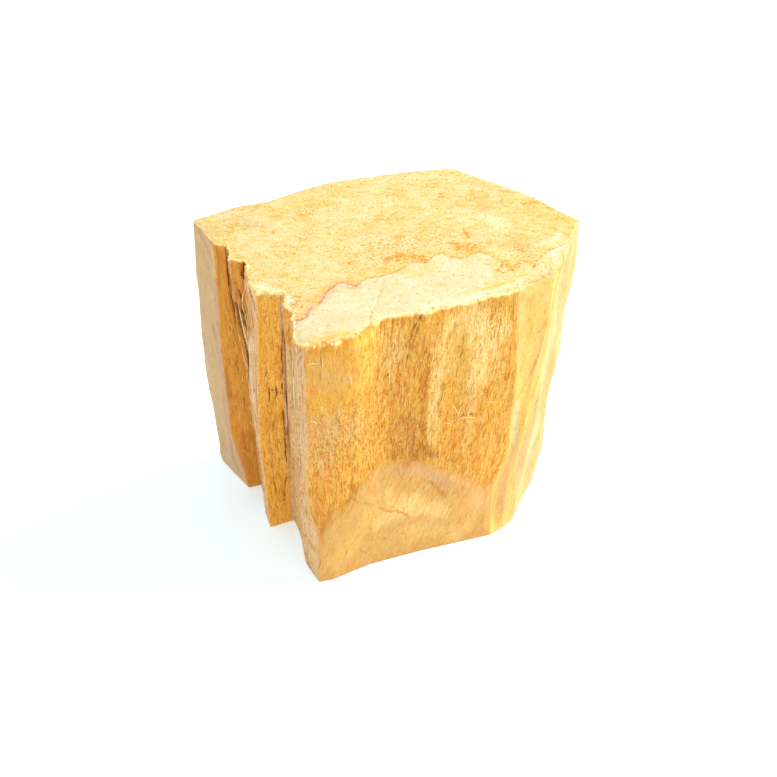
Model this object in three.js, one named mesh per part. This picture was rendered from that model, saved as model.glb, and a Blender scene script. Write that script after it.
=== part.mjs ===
// A short, thick block of palo santo wood: one piece of a small log, sawn across
// at both ends, split along the grain at the front and the left, and hewn with a
// blade everywhere else. Millimetres, +Z up along the grain, resting on its foot.
//
// The wall is a skin of long lines that run with the grain from the sawn foot to
// the sawn top. Every long edge of the block is one of those lines, and the walls
// between two edges are filled with evenly spaced lines. Across them run rings,
// which bend so that one ring lies along the arch where the split front ends.

import * as THREE from 'three';

// Driving dimensions.
const HEIGHT = 92; // sawn foot to sawn top
const SPLIT_SPACING = 2.1; // between the lines of a split wall, measured along the outline
const HEWN_SPACING = 3; // and of a hewn wall
const RINGS_BELOW_SHOULDER = 13;
const RINGS_ABOVE_SHOULDER = 19;

const SHOULDER_LEVEL = 0.38; // height of the bent ring away from the front, as a share of HEIGHT
const SHOULDER_BLEND = 16; // length of outline over which it comes level beside the front
const LEDGE_RISE = 0.7; // height of the torn step along the arch
const SPLIT_HOLLOW = 1.9; // how far the split front bows inward above the arch
const SPLIT_HOLLOW_X = 7; // where across the front it bows in most
const SPLIT_HOLLOW_REACH = 23; // and how far to each side of that the bow reaches
const VALLEY = 0.9; // depth of the torn valley that runs down to the top of the arch
const VALLEY_LEFT = -3; // where across the front the valley starts
const VALLEY_RIGHT = 13; // and where its steep side ends
const VALLEY_SIDE = 2; // width of that side
const FRONT_CREASE_PROUD = 1; // how far the crease between the two low facets stands out
const FACET_SLOPE = 0.1; // how far the upper one of them falls back, per unit of height
const CREASE_LEFT = -18; // where across the front the crease starts
const CREASE_RIGHT = 32; // and ends
const CREASE_FADE = 10; // length over which it rises at each end
const RIM_UNEVENNESS = 0.5; // how much the wear of the rim varies, as a share
const RIM_INSET = 0.8; // how far the sawn top starts inside the wall, as a share of the wear
const FIBRE_RELIEF = 0.45; // depth of the grooves that splitting leaves
const FIBRE_WIDTH = 3.2; // spacing of those grooves along the outline
const FIBRE_LENGTH = 38; // and how long one runs with the grain
const BLADE_RELIEF = 0.16; // unevenness of a hewn wall
const BLADE_WIDTH = 4.6; // spacing of that unevenness along the outline
const BLADE_LENGTH = 7.6; // and with the grain
const RELIEF_FADE = 6; // height over which the relief dies out towards both sawn ends

// Heights along the arch on the front wall, from left to right: x, height.
const ARCH = [
  [-19, 19], [-17.6, 22], [-14, 28], [-9.5, 31.5], [-5.5, 37], [-1.5, 39.5], [3.5, 40],
  [11.5, 36.5], [17.5, 32], [24, 26], [32.5, 20.5],
];
// Heights along the crease between the two low facets of the front, x, height.
const CREASE = [[-19, 19], [-14, 28], [-9.7, 29], [5, 18.5], [12, 15.5], [20, 15], [33, 16]];

// The long edges, anticlockwise as seen from above, from the left corner over the
// front. Each has a name, the kind of wall that follows it, how much its rim is
// worn, and its course: level (1 the top, 0 the foot), x, y.
const EDGES = [
  ['left corner', 'hewn', 0.4, [1, -50.3, 14], [0.76, -51.5, 13], [0.45, -53, 11.9], [0, -53.2, 10.1]],
  ['left strip', 'hewn', 0.4, [1, -47.3, 9.3], [0.8, -47.8, 6.6], [0.5, -49.9, 5.8], [0, -48.8, 4.6]],
  ['first column, left', 'split', 0.4,
    [1, -43.6, 3.3], [0.83, -44.2, 2.3], [0.6, -45.3, 1.1], [0.24, -45.5, -1], [0.1, -43.6, -1.9],
    [0, -42.7, -2.4]],
  ['first column, right', 'cleft', 0.3,
    [1, -40.6, 2.9], [0.8, -40.9, 2.1], [0.55, -39.4, 1], [0.25, -38.9, -0.1], [0, -38.8, -1.2]],
  ['first cleft', 'cleft', 0.3,
    [1, -39.8, 3.7], [0.8, -39.8, 4], [0.55, -38.2, 3], [0.25, -37.7, 1.6], [0, -37.9, -0.8]],
  ['flake, left', 'split', 0.3, [1, -38.9, -2.6], [0.75, -38.7, -2.9], [0.55, -38, -4.3], [0, -37.8, -4.5]],
  ['flake, right', 'cleft', 0.3, [1, -35.5, -3.9], [0.77, -36.6, -4.9], [0.55, -37.4, -5.6], [0, -37.3, -7]],
  ['flake cleft', 'cleft', 0.3, [1, -34.6, -4], [0.8, -35, -4.2], [0.55, -36, -5.6], [0, -36.9, -7.8]],
  ['splinters', 'cleft', 0.3, [1, -34.5, -7.2], [0.55, -36.4, -8.4], [0, -36.9, -10]],
  ['second column, side', 'cleft', 0.4, [1, -32.9, -12.2], [0.6, -34.3, -13.8], [0, -35.7, -15]],
  ['second column, left', 'split', 0.5,
    [1, -30.1, -16.7], [0.7, -32.3, -17.1], [0.42, -34.2, -17.5], [0, -34.5, -18.2]],
  ['second column, right', 'cleft', 0.4, [1, -25, -16.5], [0.6, -26.3, -16.3], [0, -28, -15.6]],
  ['second cleft', 'cleft', 0.4,
    [1, -24.2, -16.3], [0.8, -24.4, -15], [0.4, -25.6, -14.4], [0.3, -26.5, -15.4], [0, -27.2, -15.7]],
  ['grey strip, left', 'split', 0.4, [1, -23.3, -21.3], [0.6, -25.3, -20.2], [0, -26.6, -17]],
  ['grey strip, right', 'cleft', 0.4,
    [1, -21, -24.5], [0.8, -22, -24.5], [0.6, -23.1, -23.5], [0.38, -24, -22.1], [0, -25.6, -19.5]],
  ['third column, back', 'cleft', 0.4, [1, -20.6, -27], [0.5, -22.2, -26.6], [0, -24.5, -23]],
  ['third column, left', 'split', 0.6,
    [1, -20.2, -32.4], [0.7, -21.6, -32.2], [0.35, -22.9, -31.9], [0, -22.7, -31.7]],
  ['front corner, left', 'hewn', 0.8,
    [1, -18.7, -35.3], [0.68, -19.6, -35.2], [0.34, -21.1, -34.9], [0, -20.8, -34.6]],
  ['front corner', 'front', 1.4,
    [1, -17.6, -36.2], [0.68, -18.8, -35.9], [0.36, -20.4, -35.5], [0.29, -19.2, -36.1],
    [0.21, -17.6, -36.8], [0, -18.5, -38.2]],
  ['front, burr', 'front', 1.8, [1, -13.5, -36.2], [0.8, -13.6, -35], [0.5, -13.8, -35.2], [0, -14.1, -37.2]],
  ['front, burr end', 'front', 1.7, [1, -6.4, -33.9], [0.8, -6.4, -32.6], [0.5, -6.2, -32.4], [0, -5.8, -32.9]],
  ['front, jog', 'front', 1.2, [1, -3.1, -30.5], [0.8, -3.1, -30.6], [0.5, -3.1, -31], [0, -3, -31.7]],
  ['front, jog end', 'front', 0.8, [1, -0.1, -26], [0.8, 0, -27.2], [0.5, 0, -28.8], [0, -0.4, -30.8]],
  ['front, valley', 'front', 0.6, [1, 10, -24], [0.5, 10.6, -25.2], [0, 11.7, -26.9]],
  ['front, right', 'front', 0.6, [1, 23.7, -19.3], [0.5, 24.3, -20.8], [0, 25.1, -23.2]],
  ['right edge', 'hewn', 0.6,
    [1, 34.2, -16], [0.85, 35.2, -15.8], [0.65, 36.2, -15.5], [0.36, 36.5, -15.3], [0.3, 34.8, -16.4],
    [0.22, 32.6, -17.6], [0.12, 32.7, -19.2], [0, 32.9, -21.1]],
  ['right shoulder', 'hewn', 1.2,
    [1, 43.6, -10], [0.8, 43.4, -9.6], [0.62, 41.4, -12], [0.4, 40, -13.3], [0.25, 37.2, -16.1],
    [0, 36.6, -18.8]],
  ['right ridge', 'hewn', 1,
    [1, 46.5, -3.7], [0.8, 46, -4.4], [0.65, 45.1, -6], [0.43, 44.3, -9.8], [0.34, 43, -11.8],
    [0.19, 41.5, -14], [0, 40.3, -15.4]],
  ['right, low', 'hewn', 0.8, [1, 48.2, 1.5], [0.5, 47.4, -1.6], [0.2, 44.9, -6.4], [0, 43.6, -8.2]],
  ['right, middle', 'hewn', 0.8, [1, 51, 9], [0.5, 50.5, 5.6], [0.2, 48.6, 1.8], [0, 47.4, 0]],
  ['right corner', 'hewn', 0.5,
    [1, 53.1, 14.1], [0.84, 54.4, 13.6], [0.7, 53.5, 13.4], [0.5, 53.1, 13.1], [0.3, 52.2, 12.4],
    [0, 51, 10.6]],
  ['back right, end', 'hewn', 0.4, [1, 47.3, 18.9], [0.5, 48.2, 18.6], [0, 46.3, 17]],
  ['back right', 'hewn', 0.5, [1, 41.6, 25.4], [0.5, 42.1, 25.3], [0, 40.6, 23.6]],
  ['back right, high', 'hewn', 0.4, [1, 31.2, 32.3], [0.5, 32.4, 32.6], [0, 31, 30.6]],
  ['back corner', 'round', 0.4, [1, 20.4, 39.1], [0.6, 21.8, 38.8], [0, 20.4, 36.8]],
  ['back, crown', 'round', 0.4, [1, 9.5, 38], [0.5, 9.9, 38.2], [0, 8.7, 37]],
  ['back, middle', 'round', 0.4, [1, -13.2, 32.6], [0.5, -13.6, 33.2], [0, -14.8, 32]],
  ['back, left', 'round', 0.4, [1, -22.5, 28.2], [0.5, -23.3, 28.8], [0, -24.6, 27.2]],
  ['back, far left', 'round', 0.4, [1, -31, 22.7], [0.5, -32.4, 23.2], [0, -33.6, 21.5]],
  ['back, end', 'hewn', 0.4, [1, -39.8, 20.1], [0.5, -41.6, 19.6], [0, -43.4, 17.5]],
];

// Shallow scoops that the blade left in the hewn walls: the edge that each is
// measured from, how far along the outline from it, level, half width, half
// height, depth, and how far it leans sideways over its half height.
const SCOOPS = [
  ['left corner', 4, 0.22, 7, 21, 0.7, 1],
  ['left corner', 3, 0.66, 6, 22, 0.6, -1],
  ['right edge', 5, 0.8, 6.5, 24, 1.1, -2],
  ['right edge', 5, 0.45, 6, 13, 0.8, -1],
  ['right edge', 5, 0.12, 6, 15, 0.9, 0],
  ['right ridge', 6, 0.84, 7, 18, 1.3, 1],
  ['right ridge', 7, 0.5, 7.5, 19, 1.5, -2],
  ['right ridge', 8, 0.14, 8, 19, 1.3, 1],
  ['right, middle', 6, 0.32, 8, 19, 1.3, 2],
  ['right, middle', 5, 0.74, 7, 19, 1.1, -1],
  ['right corner', 7, 0.2, 8, 24, 1.6, 1],
  ['right corner', 7, 0.68, 8, 26, 1.4, -1],
  ['back right', 2, 0.42, 9, 26, 1.6, -1],
  ['back right', 3, 0.9, 8, 20, 1.3, 1],
  ['back right', 5, 0.02, 9, 18, 1.5, 1],
  ['back right, high', 8, 0.28, 8, 26, 1.5, 1],
  ['back right, high', 8, 0.76, 8, 26, 1.4, -1],
  ['back corner', 8, 0.14, 8, 22, 1.3, 1],
  ['back corner', 8, 0.58, 9, 24, 1.4, -1],
  ['back, crown', 4, 0.9, 11, 16, 1, 1],
  ['back, crown', 11, 0.34, 10, 24, 1.5, 1],
  ['back, middle', -3, 0.76, 9, 22, 1.3, -1],
  ['back, middle', 6, 0.1, 9, 20, 1.4, 0],
  ['back, middle', 7, 0.5, 9, 24, 1.5, -1],
  ['back, left', 4, 0.88, 9, 18, 1.2, 1],
  ['back, far left', 2, 0.24, 8, 25, 1.5, 1],
  ['back, far left', 3, 0.66, 8, 23, 1.4, -1],
  ['back, end', 5, 0.12, 7, 20, 1.2, 0],
  ['back, end', 5, 0.52, 7, 22, 1.2, 1],
  ['back, end', 4, 0.9, 6, 16, 0.9, 0],
];

// Value of a course at a position, where each of its points is [position, value, ...].
function along(course, position, column) {
  const rising = course[0][0] < course[course.length - 1][0];
  const points = rising ? course : [...course].reverse();
  if (position <= points[0][0]) return points[0][column];
  for (let i = 1; i < points.length; i += 1) {
    if (position <= points[i][0]) {
      const share = (position - points[i - 1][0]) / (points[i][0] - points[i - 1][0]);
      return THREE.MathUtils.lerp(points[i - 1][column], points[i][column], share);
    }
  }
  return points[points.length - 1][column];
}

// Repeatable number from -1 to 1 at a lattice point.
function latticeValue(i, j, seed) {
  const wave = Math.sin(i * 127.1 + j * 311.7 + seed * 74.7) * 43758.5453;
  return 2 * (wave - Math.floor(wave)) - 1;
}

// Smooth noise over two coordinates, one unit to a lattice cell.
function noise(u, v, seed) {
  const i = Math.floor(u);
  const j = Math.floor(v);
  const fu = THREE.MathUtils.smoothstep(u - i, 0, 1);
  const fv = THREE.MathUtils.smoothstep(v - j, 0, 1);
  const low = THREE.MathUtils.lerp(latticeValue(i, j, seed), latticeValue(i + 1, j, seed), fu);
  const high = THREE.MathUtils.lerp(latticeValue(i, j + 1, seed), latticeValue(i + 1, j + 1, seed), fu);
  return THREE.MathUtils.lerp(low, high, fv);
}

// How much more or less than its edges' wear the rim is worn at a distance along it.
function rimVariation(distance) {
  return 1 + RIM_UNEVENNESS * noise(distance / FIBRE_WIDTH, 0, 3);
}

// The lines of the wall: each edge, then the lines that fill the wall after it.
function wallLines() {
  const lines = [];
  let travelled = 0;
  EDGES.forEach(([name, kind, wear, ...course], index) => {
    const [, , nextWear, ...nextCourse] = EDGES[(index + 1) % EDGES.length];
    const width = Math.max(...[0, 0.5, 1].map((level) => Math.hypot(
      along(nextCourse, level, 1) - along(course, level, 1),
      along(nextCourse, level, 2) - along(course, level, 2),
    )));
    const spacing = kind === 'hewn' || kind === 'round' ? HEWN_SPACING : SPLIT_SPACING;
    const count = Math.max(1, Math.round(width / spacing));
    for (let i = 0; i < count; i += 1) {
      const share = i / count;
      lines.push({
        edge: i === 0 ? name : null,
        kind,
        wear: THREE.MathUtils.lerp(wear, nextWear, share) * rimVariation(travelled + width * share),
        distance: travelled + width * share,
        at: (level) => new THREE.Vector2(
          THREE.MathUtils.lerp(along(course, level, 1), along(nextCourse, level, 1), share),
          THREE.MathUtils.lerp(along(course, level, 2), along(nextCourse, level, 2), share),
        ),
      });
    }
    travelled += width;
  });
  lines.perimeter = travelled;
  return lines;
}

// Outward direction of the wall at one line and level.
function outwardAt(lines, index, level) {
  const before = lines[(index + lines.length - 1) % lines.length].at(level);
  const after = lines[(index + 1) % lines.length].at(level);
  const run = after.sub(before);
  return new THREE.Vector2(run.y, -run.x).normalize();
}

// Depth of the deepest blade scoop at a place on the wall.
function scoopDepth(lines, distance, height) {
  let deepest = 0;
  for (const [edge, offset, level, halfWidth, halfHeight, depth, lean] of SCOOPS) {
    const up = (height - level * HEIGHT) / halfHeight;
    const centre = lines.find((line) => line.edge === edge).distance + offset + lean * up;
    let aside = distance - centre;
    aside -= lines.perimeter * Math.round(aside / lines.perimeter);
    deepest = Math.max(deepest, depth * (1 - (aside / halfWidth) ** 2 - up ** 2));
  }
  return deepest;
}

// How far the front wall lies inside its outline, above or below the arch.
function frontDepth(x, height, aboveArch) {
  const arch = along(ARCH, x, 1);
  if (aboveArch) {
    const across = Math.max(0, 1 - ((x - SPLIT_HOLLOW_X) / SPLIT_HOLLOW_REACH) ** 2);
    const down = THREE.MathUtils.smoothstep(HEIGHT - height, 0, HEIGHT - arch);
    const valley = THREE.MathUtils.smoothstep(x, VALLEY_LEFT, SPLIT_HOLLOW_X)
      * (1 - THREE.MathUtils.smoothstep(x, VALLEY_RIGHT - VALLEY_SIDE, VALLEY_RIGHT));
    return SPLIT_HOLLOW * across * down + VALLEY * valley * down;
  }
  const crease = Math.min(along(CREASE, x, 1), arch);
  const awayFromEnds = THREE.MathUtils.smoothstep(x, CREASE_LEFT, CREASE_LEFT + CREASE_FADE)
    * (1 - THREE.MathUtils.smoothstep(x, CREASE_RIGHT - CREASE_FADE, CREASE_RIGHT));
  const proud = FRONT_CREASE_PROUD * Math.min(1, height / crease);
  const fallen = FACET_SLOPE * Math.max(0, height - crease);
  return (fallen - proud) * awayFromEnds;
}

// How far one point of the wall lies inside the plain outline.
function reliefDepth(lines, line, x, height, aboveShoulder) {
  const fibres = FIBRE_RELIEF * noise(line.distance / FIBRE_WIDTH, height / FIBRE_LENGTH, 1);
  const blade = BLADE_RELIEF * noise(line.distance / BLADE_WIDTH, height / BLADE_LENGTH, 2);
  const fade = THREE.MathUtils.smoothstep(Math.min(height, HEIGHT - height), 0, RELIEF_FADE);
  if (line.kind === 'front') {
    return frontDepth(x, height, aboveShoulder) + (aboveShoulder ? fibres : blade) * fade;
  }
  if (line.kind === 'hewn' || line.kind === 'round') {
    return (blade + scoopDepth(lines, line.distance, height)) * fade;
  }
  return fibres * fade;
}

// Height of the bent ring: the arch on the front, coming level on both sides of it.
function shoulderHeight(lines, line) {
  if (line.kind === 'front') return along(ARCH, line.at(SHOULDER_LEVEL).x, 1);
  const start = lines.find(({ edge }) => edge === 'front corner').distance;
  const end = lines.find(({ edge }) => edge === 'right edge').distance;
  const past = Math.max(start - line.distance, line.distance - end);
  const nearArch = line.distance < start ? ARCH[0][1] : ARCH[ARCH.length - 1][1];
  return THREE.MathUtils.lerp(
    nearArch,
    SHOULDER_LEVEL * HEIGHT,
    THREE.MathUtils.smoothstep(past, 0, SHOULDER_BLEND),
  );
}

// Height of each ring at one line, from foot to top, with two rings along the arch.
function ringHeights(lines, line) {
  const shoulder = shoulderHeight(lines, line);
  const heights = [];
  for (let i = 0; i <= RINGS_BELOW_SHOULDER; i += 1) {
    heights.push({ height: shoulder * (i / RINGS_BELOW_SHOULDER), above: false });
  }
  const start = shoulder + LEDGE_RISE;
  const top = HEIGHT - line.wear;
  for (let i = 0; i <= RINGS_ABOVE_SHOULDER; i += 1) {
    heights.push({ height: THREE.MathUtils.lerp(start, top, i / RINGS_ABOVE_SHOULDER), above: true });
  }
  return heights;
}

// Closed skin from rings of points, each closed by a flat cap at its end.
function skinOfRings(rings) {
  const count = rings[0].length;
  const positions = rings.flat().flatMap((point) => point.toArray());
  const index = [];
  for (let r = 0; r + 1 < rings.length; r += 1) {
    for (let i = 0; i < count; i += 1) {
      const a = r * count + i;
      const b = r * count + ((i + 1) % count);
      index.push(a, b, b + count, a, b + count, a + count);
    }
  }
  const flat = (ring) => ring.map((point) => new THREE.Vector2(point.x, point.y));
  const last = (rings.length - 1) * count;
  for (const [a, b, c] of THREE.ShapeUtils.triangulateShape(flat(rings[0]), [])) index.push(c, b, a);
  for (const [a, b, c] of THREE.ShapeUtils.triangulateShape(flat(rings[rings.length - 1]), [])) {
    index.push(last + a, last + b, last + c);
  }
  const geometry = new THREE.BufferGeometry();
  geometry.setAttribute('position', new THREE.Float32BufferAttribute(positions, 3));
  geometry.setIndex(index);
  return geometry;
}

function blockGeometry() {
  const lines = wallLines();
  const columns = lines.map((line, index) => {
    const points = ringHeights(lines, line).map(({ height, above }) => {
      const level = height / HEIGHT;
      const place = line.at(level);
      const depth = reliefDepth(lines, line, place.x, height, above);
      place.addScaledVector(outwardAt(lines, index, level), -depth);
      return new THREE.Vector3(place.x, place.y, height);
    });
    // The worn rim: the sawn top starts a little inside the wall.
    const rim = line.at(1).addScaledVector(outwardAt(lines, index, 1), -line.wear * RIM_INSET);
    points.push(new THREE.Vector3(rim.x, rim.y, HEIGHT));
    return points;
  });
  const rings = columns[0].map((_, r) => columns.map((column) => column[r]));
  const geometry = skinOfRings(rings);
  // The origin is at the middle of the foot, under the centre of the bounding box.
  geometry.computeBoundingBox();
  const middle = geometry.boundingBox.getCenter(new THREE.Vector3());
  geometry.translate(-middle.x, -middle.y, 0);
  geometry.computeVertexNormals();
  return geometry;
}

function woodMaterial() {
  return new THREE.MeshStandardMaterial({ color: 0xe3ac55, roughness: 0.78, metalness: 0 });
}

const block = new THREE.Mesh(blockGeometry(), woodMaterial());
block.name = 'wood_block';

const object = new THREE.Group();
object.add(block);

export default object;
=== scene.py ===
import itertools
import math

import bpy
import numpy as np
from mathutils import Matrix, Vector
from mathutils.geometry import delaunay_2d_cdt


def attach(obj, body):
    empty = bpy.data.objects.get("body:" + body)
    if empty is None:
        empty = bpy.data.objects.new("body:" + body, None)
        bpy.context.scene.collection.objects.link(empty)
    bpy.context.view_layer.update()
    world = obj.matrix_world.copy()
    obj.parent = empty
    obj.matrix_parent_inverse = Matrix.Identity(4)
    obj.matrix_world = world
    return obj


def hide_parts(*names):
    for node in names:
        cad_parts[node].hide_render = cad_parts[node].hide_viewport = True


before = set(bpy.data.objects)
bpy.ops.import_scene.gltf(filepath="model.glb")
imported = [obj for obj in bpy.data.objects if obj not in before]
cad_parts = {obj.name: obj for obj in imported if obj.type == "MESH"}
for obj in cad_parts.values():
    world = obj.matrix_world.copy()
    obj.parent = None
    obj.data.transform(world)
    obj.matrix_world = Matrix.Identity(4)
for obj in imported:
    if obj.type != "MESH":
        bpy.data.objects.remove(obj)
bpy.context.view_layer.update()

# A block of palo santo wood, sawn at both ends, split at the front and the left and
# hewn on the other sides. The wood is one fine mesh, made from the surface of the CAD
# solid: its wall is a grid of columns, which run with the grain, and rows. A second
# mesh holds the slivers, loose fibres and crumbs on it. Lengths are in millimetres
# until a mesh is made. Places on the wall are (reach, height), where reach is the
# distance along the outline from the front corner, positive to the right.

NODE = "wood_block"
MM = 0.001
HEIGHT = 92.0  # sawn foot to sawn top
MIDDLE = HEIGHT / 2
TOLERANCE = 0.001  # for heights read from the CAD solid
SHOULDER_RING = 13  # the CAD ring that lies along the arch
SHOULDER_ROWS = 4  # how far from the arch the rows are softened most
CLEFT_SPACING = 0.26  # between the columns of the clefts on the left
SPLIT_SPACING = 0.38  # of the split front
HEWN_SPACING = 0.80  # and of the hewn walls
SPLIT_LEFT = -48  # the walls right of this x and in front of the next y are split
SPLIT_BACK = 3
ROW_SPACING = 0.98  # between rows
RIM_SPACING = 0.5  # and between those near the rim
RIM_DEPTH = 5.0  # how far down from the top the rows lie closer
RIM_ROWS = 3  # rows that round the rim
TOP_SPACING = 0.54  # between the points of the sawn top
FOOT_SPACING = 1.8  # and of the foot
POINT_SCATTER = 0.16  # how far those points lie off a plain grid, in spacings
RING_GAP = 0.55  # and how far they stay from the rim
CORNER_BLEND = 2  # how softly walls meet at their corners
CUT_WIDTH = 8.5  # of the dishes that a blade left in the hewn walls
CUT_HEIGHT = 25.0
CUT_SLANT = 0.12  # how far a row of dishes is shifted past the one below, in dishes
CUT_SCATTER = 0.36  # how far their middles lie off a plain grid
CUT_VARIETY = 0.12  # how much their depths differ
CUT_LEVEL = 0.2  # brings their mean depth to about 0
FRONT_CORNER = (-20.3, -36.4)
LEAN = 0.1  # how far the fibres of the front lean to the right, per unit of height
LEAN_X = (-18, 12)  # between which x they come to lean
LOW_LEAN = 0.3  # and how much more they do below the arch
LAYERS = 3  # of torn wood, from the deepest to the highest
LAYER_EDGE = (0.4, 0.7)  # where in a layer its edge rises
SAW_PITCH = 1.9  # between the marks of the saw
SAW_SLANT = 0.06
CRACK_WIDTH = 0.16  # half the width of the cracks in the sawn top
STAIN_WANDER = 0.55  # how ragged stains are
STAIN_FALL = (0.25, 1.25)  # where a stain fades out, in half widths
SHARP_ANGLE = 42  # degrees between faces whose common edge is drawn sharp
SEED = 11


def linear(red, green, blue):
    """Colour of an sRGB triple from 0 to 255, as linear light."""
    share = np.array([red, green, blue]) / 255
    return np.where(share <= 0.04045, share / 12.92, ((share + 0.055) / 1.055) ** 2.4)


# Where each wall starts at half height, anticlockwise from the left corner, its colour,
# how deep its torn fibres and its blade cuts are, and how fibrous and sandy it looks.
WALL_FIELDS = ("name", "x", "y", "colour", "torn", "cut", "fibrous", "sandy")
WALLS = [
    ("left strip", -53.5, 11.6, linear(207, 168, 120), 0.05, 0.9, 0.25, 0.1),
    ("first column", -45.8, 0.7, linear(218, 148, 50), 0.10, 0.2, 0.50, 0.2),
    ("first cleft", -39.9, 0.6, linear(214, 162, 100), 0.16, 0.0, 0.8, 0.3),
    ("flake", -38.7, -4.8, linear(208, 136, 46), 0.26, 0.0, 0.9, 0.3),
    ("slivers", -37.2, -7.6, linear(222, 178, 124), 0.36, 0.0, 1.0, 0.2),
    ("second column side", -35.0, -13.4, linear(224, 178, 128), 0.20, 0.0, 0.9, 0.4),
    ("second column", -34.5, -17.9, linear(240, 176, 68), 0.12, 0.0, 0.6, 0.9),
    ("second cleft", -26.9, -16.8, linear(222, 176, 112), 0.18, 0.0, 0.8, 0.5),
    ("grey strip", -25.9, -20.7, linear(218, 173, 110), 0.18, 0.0, 0.6, 1.1),
    ("third column side", -22.9, -27.0, linear(219, 175, 117), 0.16, 0.0, 0.9, 1.5),
    ("corner facet", -21.3, -35.2, linear(217, 173, 120), 0.06, 0.3, 0.4, 0.2),
    ("front", -20.3, -36.4, linear(221, 159, 59), 0.20, 0.0, 1.0, 0.4),
    ("right strip", 35.7, -15.8, linear(230, 184, 99), 0.06, 0.0, 0.25, 0.2),
    ("right", 43.4, -10.2, linear(223, 170, 109), 0.04, 1.1, 0.3, 0.1),
    ("back", 20.9, 38.3, linear(224, 176, 104), 0.05, 1.6, 0.5, 0.15),
]
LOW_FACETS = linear(215, 162, 87)  # below the arch at the front
PALE_CUT = linear(225, 177, 118)  # right of the ridge on the right
END_GRAIN = linear(213, 193, 131)
CREAM = linear(214, 201, 161)  # the paler wood in front of the wavy line
# Next, that same wood where it laps over the wall, painted brighter as painted light so that it looks as
# lit as the top.
LIT_LIP = linear(255, 226, 158)  # and where it laps over the wall at the front and the left
RIM = linear(222, 188, 132)  # and over the other walls
FRESH = linear(238, 210, 162)  # torn wood of slivers

# Stains.
BROWN = linear(188, 122, 48)
RED_BROWN = linear(186, 104, 44)
ORANGE = linear(232, 142, 44)
GOLD = linear(240, 186, 84)
PALE = linear(248, 212, 134)
TAN = linear(214, 166, 104)
MAUVE = linear(204, 158, 124)
AMBER = linear(228, 150, 48)
BLUSH = linear(228, 166, 104)
RUST = linear(206, 122, 54)
ROSE = linear(184, 134, 104)
WHITE = linear(240, 230, 198)

# In the grain of the walls.
DARK_FIBRE = linear(172, 92, 28)
PALE_FIBRE = linear(248, 208, 134)
GRIT = linear(150, 92, 40)
FIBRE_STAIN = linear(164, 98, 34)
SLIT = linear(130, 72, 12)
GLINT = linear(252, 248, 236)

# In the grain of the sawn ends.
SPECK = linear(190, 142, 54)
PORE = linear(132, 92, 36)
GRAIN_STAIN = linear(208, 132, 40)
CRACK = linear(180, 124, 70)
FUNGUS = linear(182, 112, 64)

# What the grain multiplies the wood's own colour by, from its darkest streaks to its
# palest: place on the ramp, and red, green and blue.
WALL_RAMP = [
    (0.05, (0.79, 0.45, 0.12)), (0.30, (0.93, 0.75, 0.46)), (0.50, (1.0, 1.0, 1.0)),
    (0.72, (1.07, 1.16, 1.48)), (0.95, (1.10, 1.28, 2.10)),
]
END_RAMP = [
    (0.05, (0.84, 0.62, 0.28)), (0.30, (0.95, 0.84, 0.58)), (0.50, (1.0, 1.0, 1.0)),
    (0.70, (1.02, 1.08, 1.30)), (0.95, (1.03, 1.14, 1.7)),
]


# Noise

AXIS_PRIMES = (73856093, 19349663, 83492791)
MIXERS = (2654435761, 2246822519, 3266489917)
WORD = 0xFFFFFFFF
AXIS_SEED = 101  # between the seeds of the slopes along x, y and z
OCTAVE_SEED = 7  # and of the octaves
OCTAVE_SHIFT = 5.3
NOISE_GAIN = 1.3
LUMPS_GAIN = 1.4


def lattice(cells, seed):
    """Repeatable number from -1 to 1 for each cell of a lattice."""
    key = seed * MIXERS[0]
    for axis, prime in enumerate(AXIS_PRIMES):
        key = key ^ cells[..., axis] * prime
    key = key & WORD
    key = (key ^ key >> 15) * MIXERS[1] & WORD
    key = (key ^ key >> 13) * MIXERS[2] & WORD
    return (key >> 8 & 0xFFFF) / 32767.5 - 1


def noise(points, seed):
    """Smooth noise from about -1 to 1, one unit to a lattice cell."""
    low = np.floor(points)
    share = points - low
    eased = share * share * share * (share * (share * 6 - 15) + 10)
    low = low.astype(np.int64)
    total = np.zeros(points.shape[:-1])
    for corner in itertools.product((0, 1), repeat=3):
        slopes = [lattice(low + corner, seed + AXIS_SEED * axis) for axis in range(3)]
        slope = sum(slopes[axis] * (share[..., axis] - corner[axis]) for axis in range(3))
        total += np.prod(np.where(corner, eased, 1 - eased), axis=-1) * slope
    return total * NOISE_GAIN


def lumps(points, size, seed, octaves):
    """Noise of several octaves, whose largest lumps measure size in mm on each axis."""
    scaled = points / np.array(size, float)
    total = 0
    for k in range(octaves):
        octave = noise(scaled * 2**k + OCTAVE_SHIFT * k, SEED + seed + OCTAVE_SEED * k)
        total = total + octave / 2**k
    return total / (2 - 2 ** (1 - octaves)) * LUMPS_GAIN


def ease(value, start, end):
    """0 before start, 1 after end, and smooth between."""
    share = np.clip((value - start) / (end - start), 0, 1)
    return share * share * (3 - 2 * share)


def hump(value, middle, width):
    """1 at the middle, falling off to both sides."""
    return np.exp(-((value - middle) / width) ** 2)


def read_off(table, place):
    """The value at a place, from a table of places and values."""
    return np.interp(place, *zip(*table))


def terraces(value, steps):
    """Turns smooth hills into layers with steep edges."""
    level = value * steps
    low = np.floor(level)
    return (low + ease(level - low, *LAYER_EDGE)) / steps


def distance_to(points, line):
    """Distance of points in a plane to a line of points."""
    best = np.full(points.shape[:-1], np.inf)
    for start, end in zip(line[:-1], line[1:]):
        start, run = np.array(start, float), np.subtract(end, start)
        share = np.clip(((points - start) @ run) / (run @ run), 0, 1)
        best = np.minimum(best, np.linalg.norm(points - start - share[..., None] * run, axis=-1))
    return best


def distance_to_ring(points, ring):
    return distance_to(points, np.concatenate([ring, ring[:1]]))


def grounded(points):
    """Points of the plane, as places at height 0."""
    return np.column_stack([points, np.zeros(len(points))])


# The wall, from the CAD solid

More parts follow.
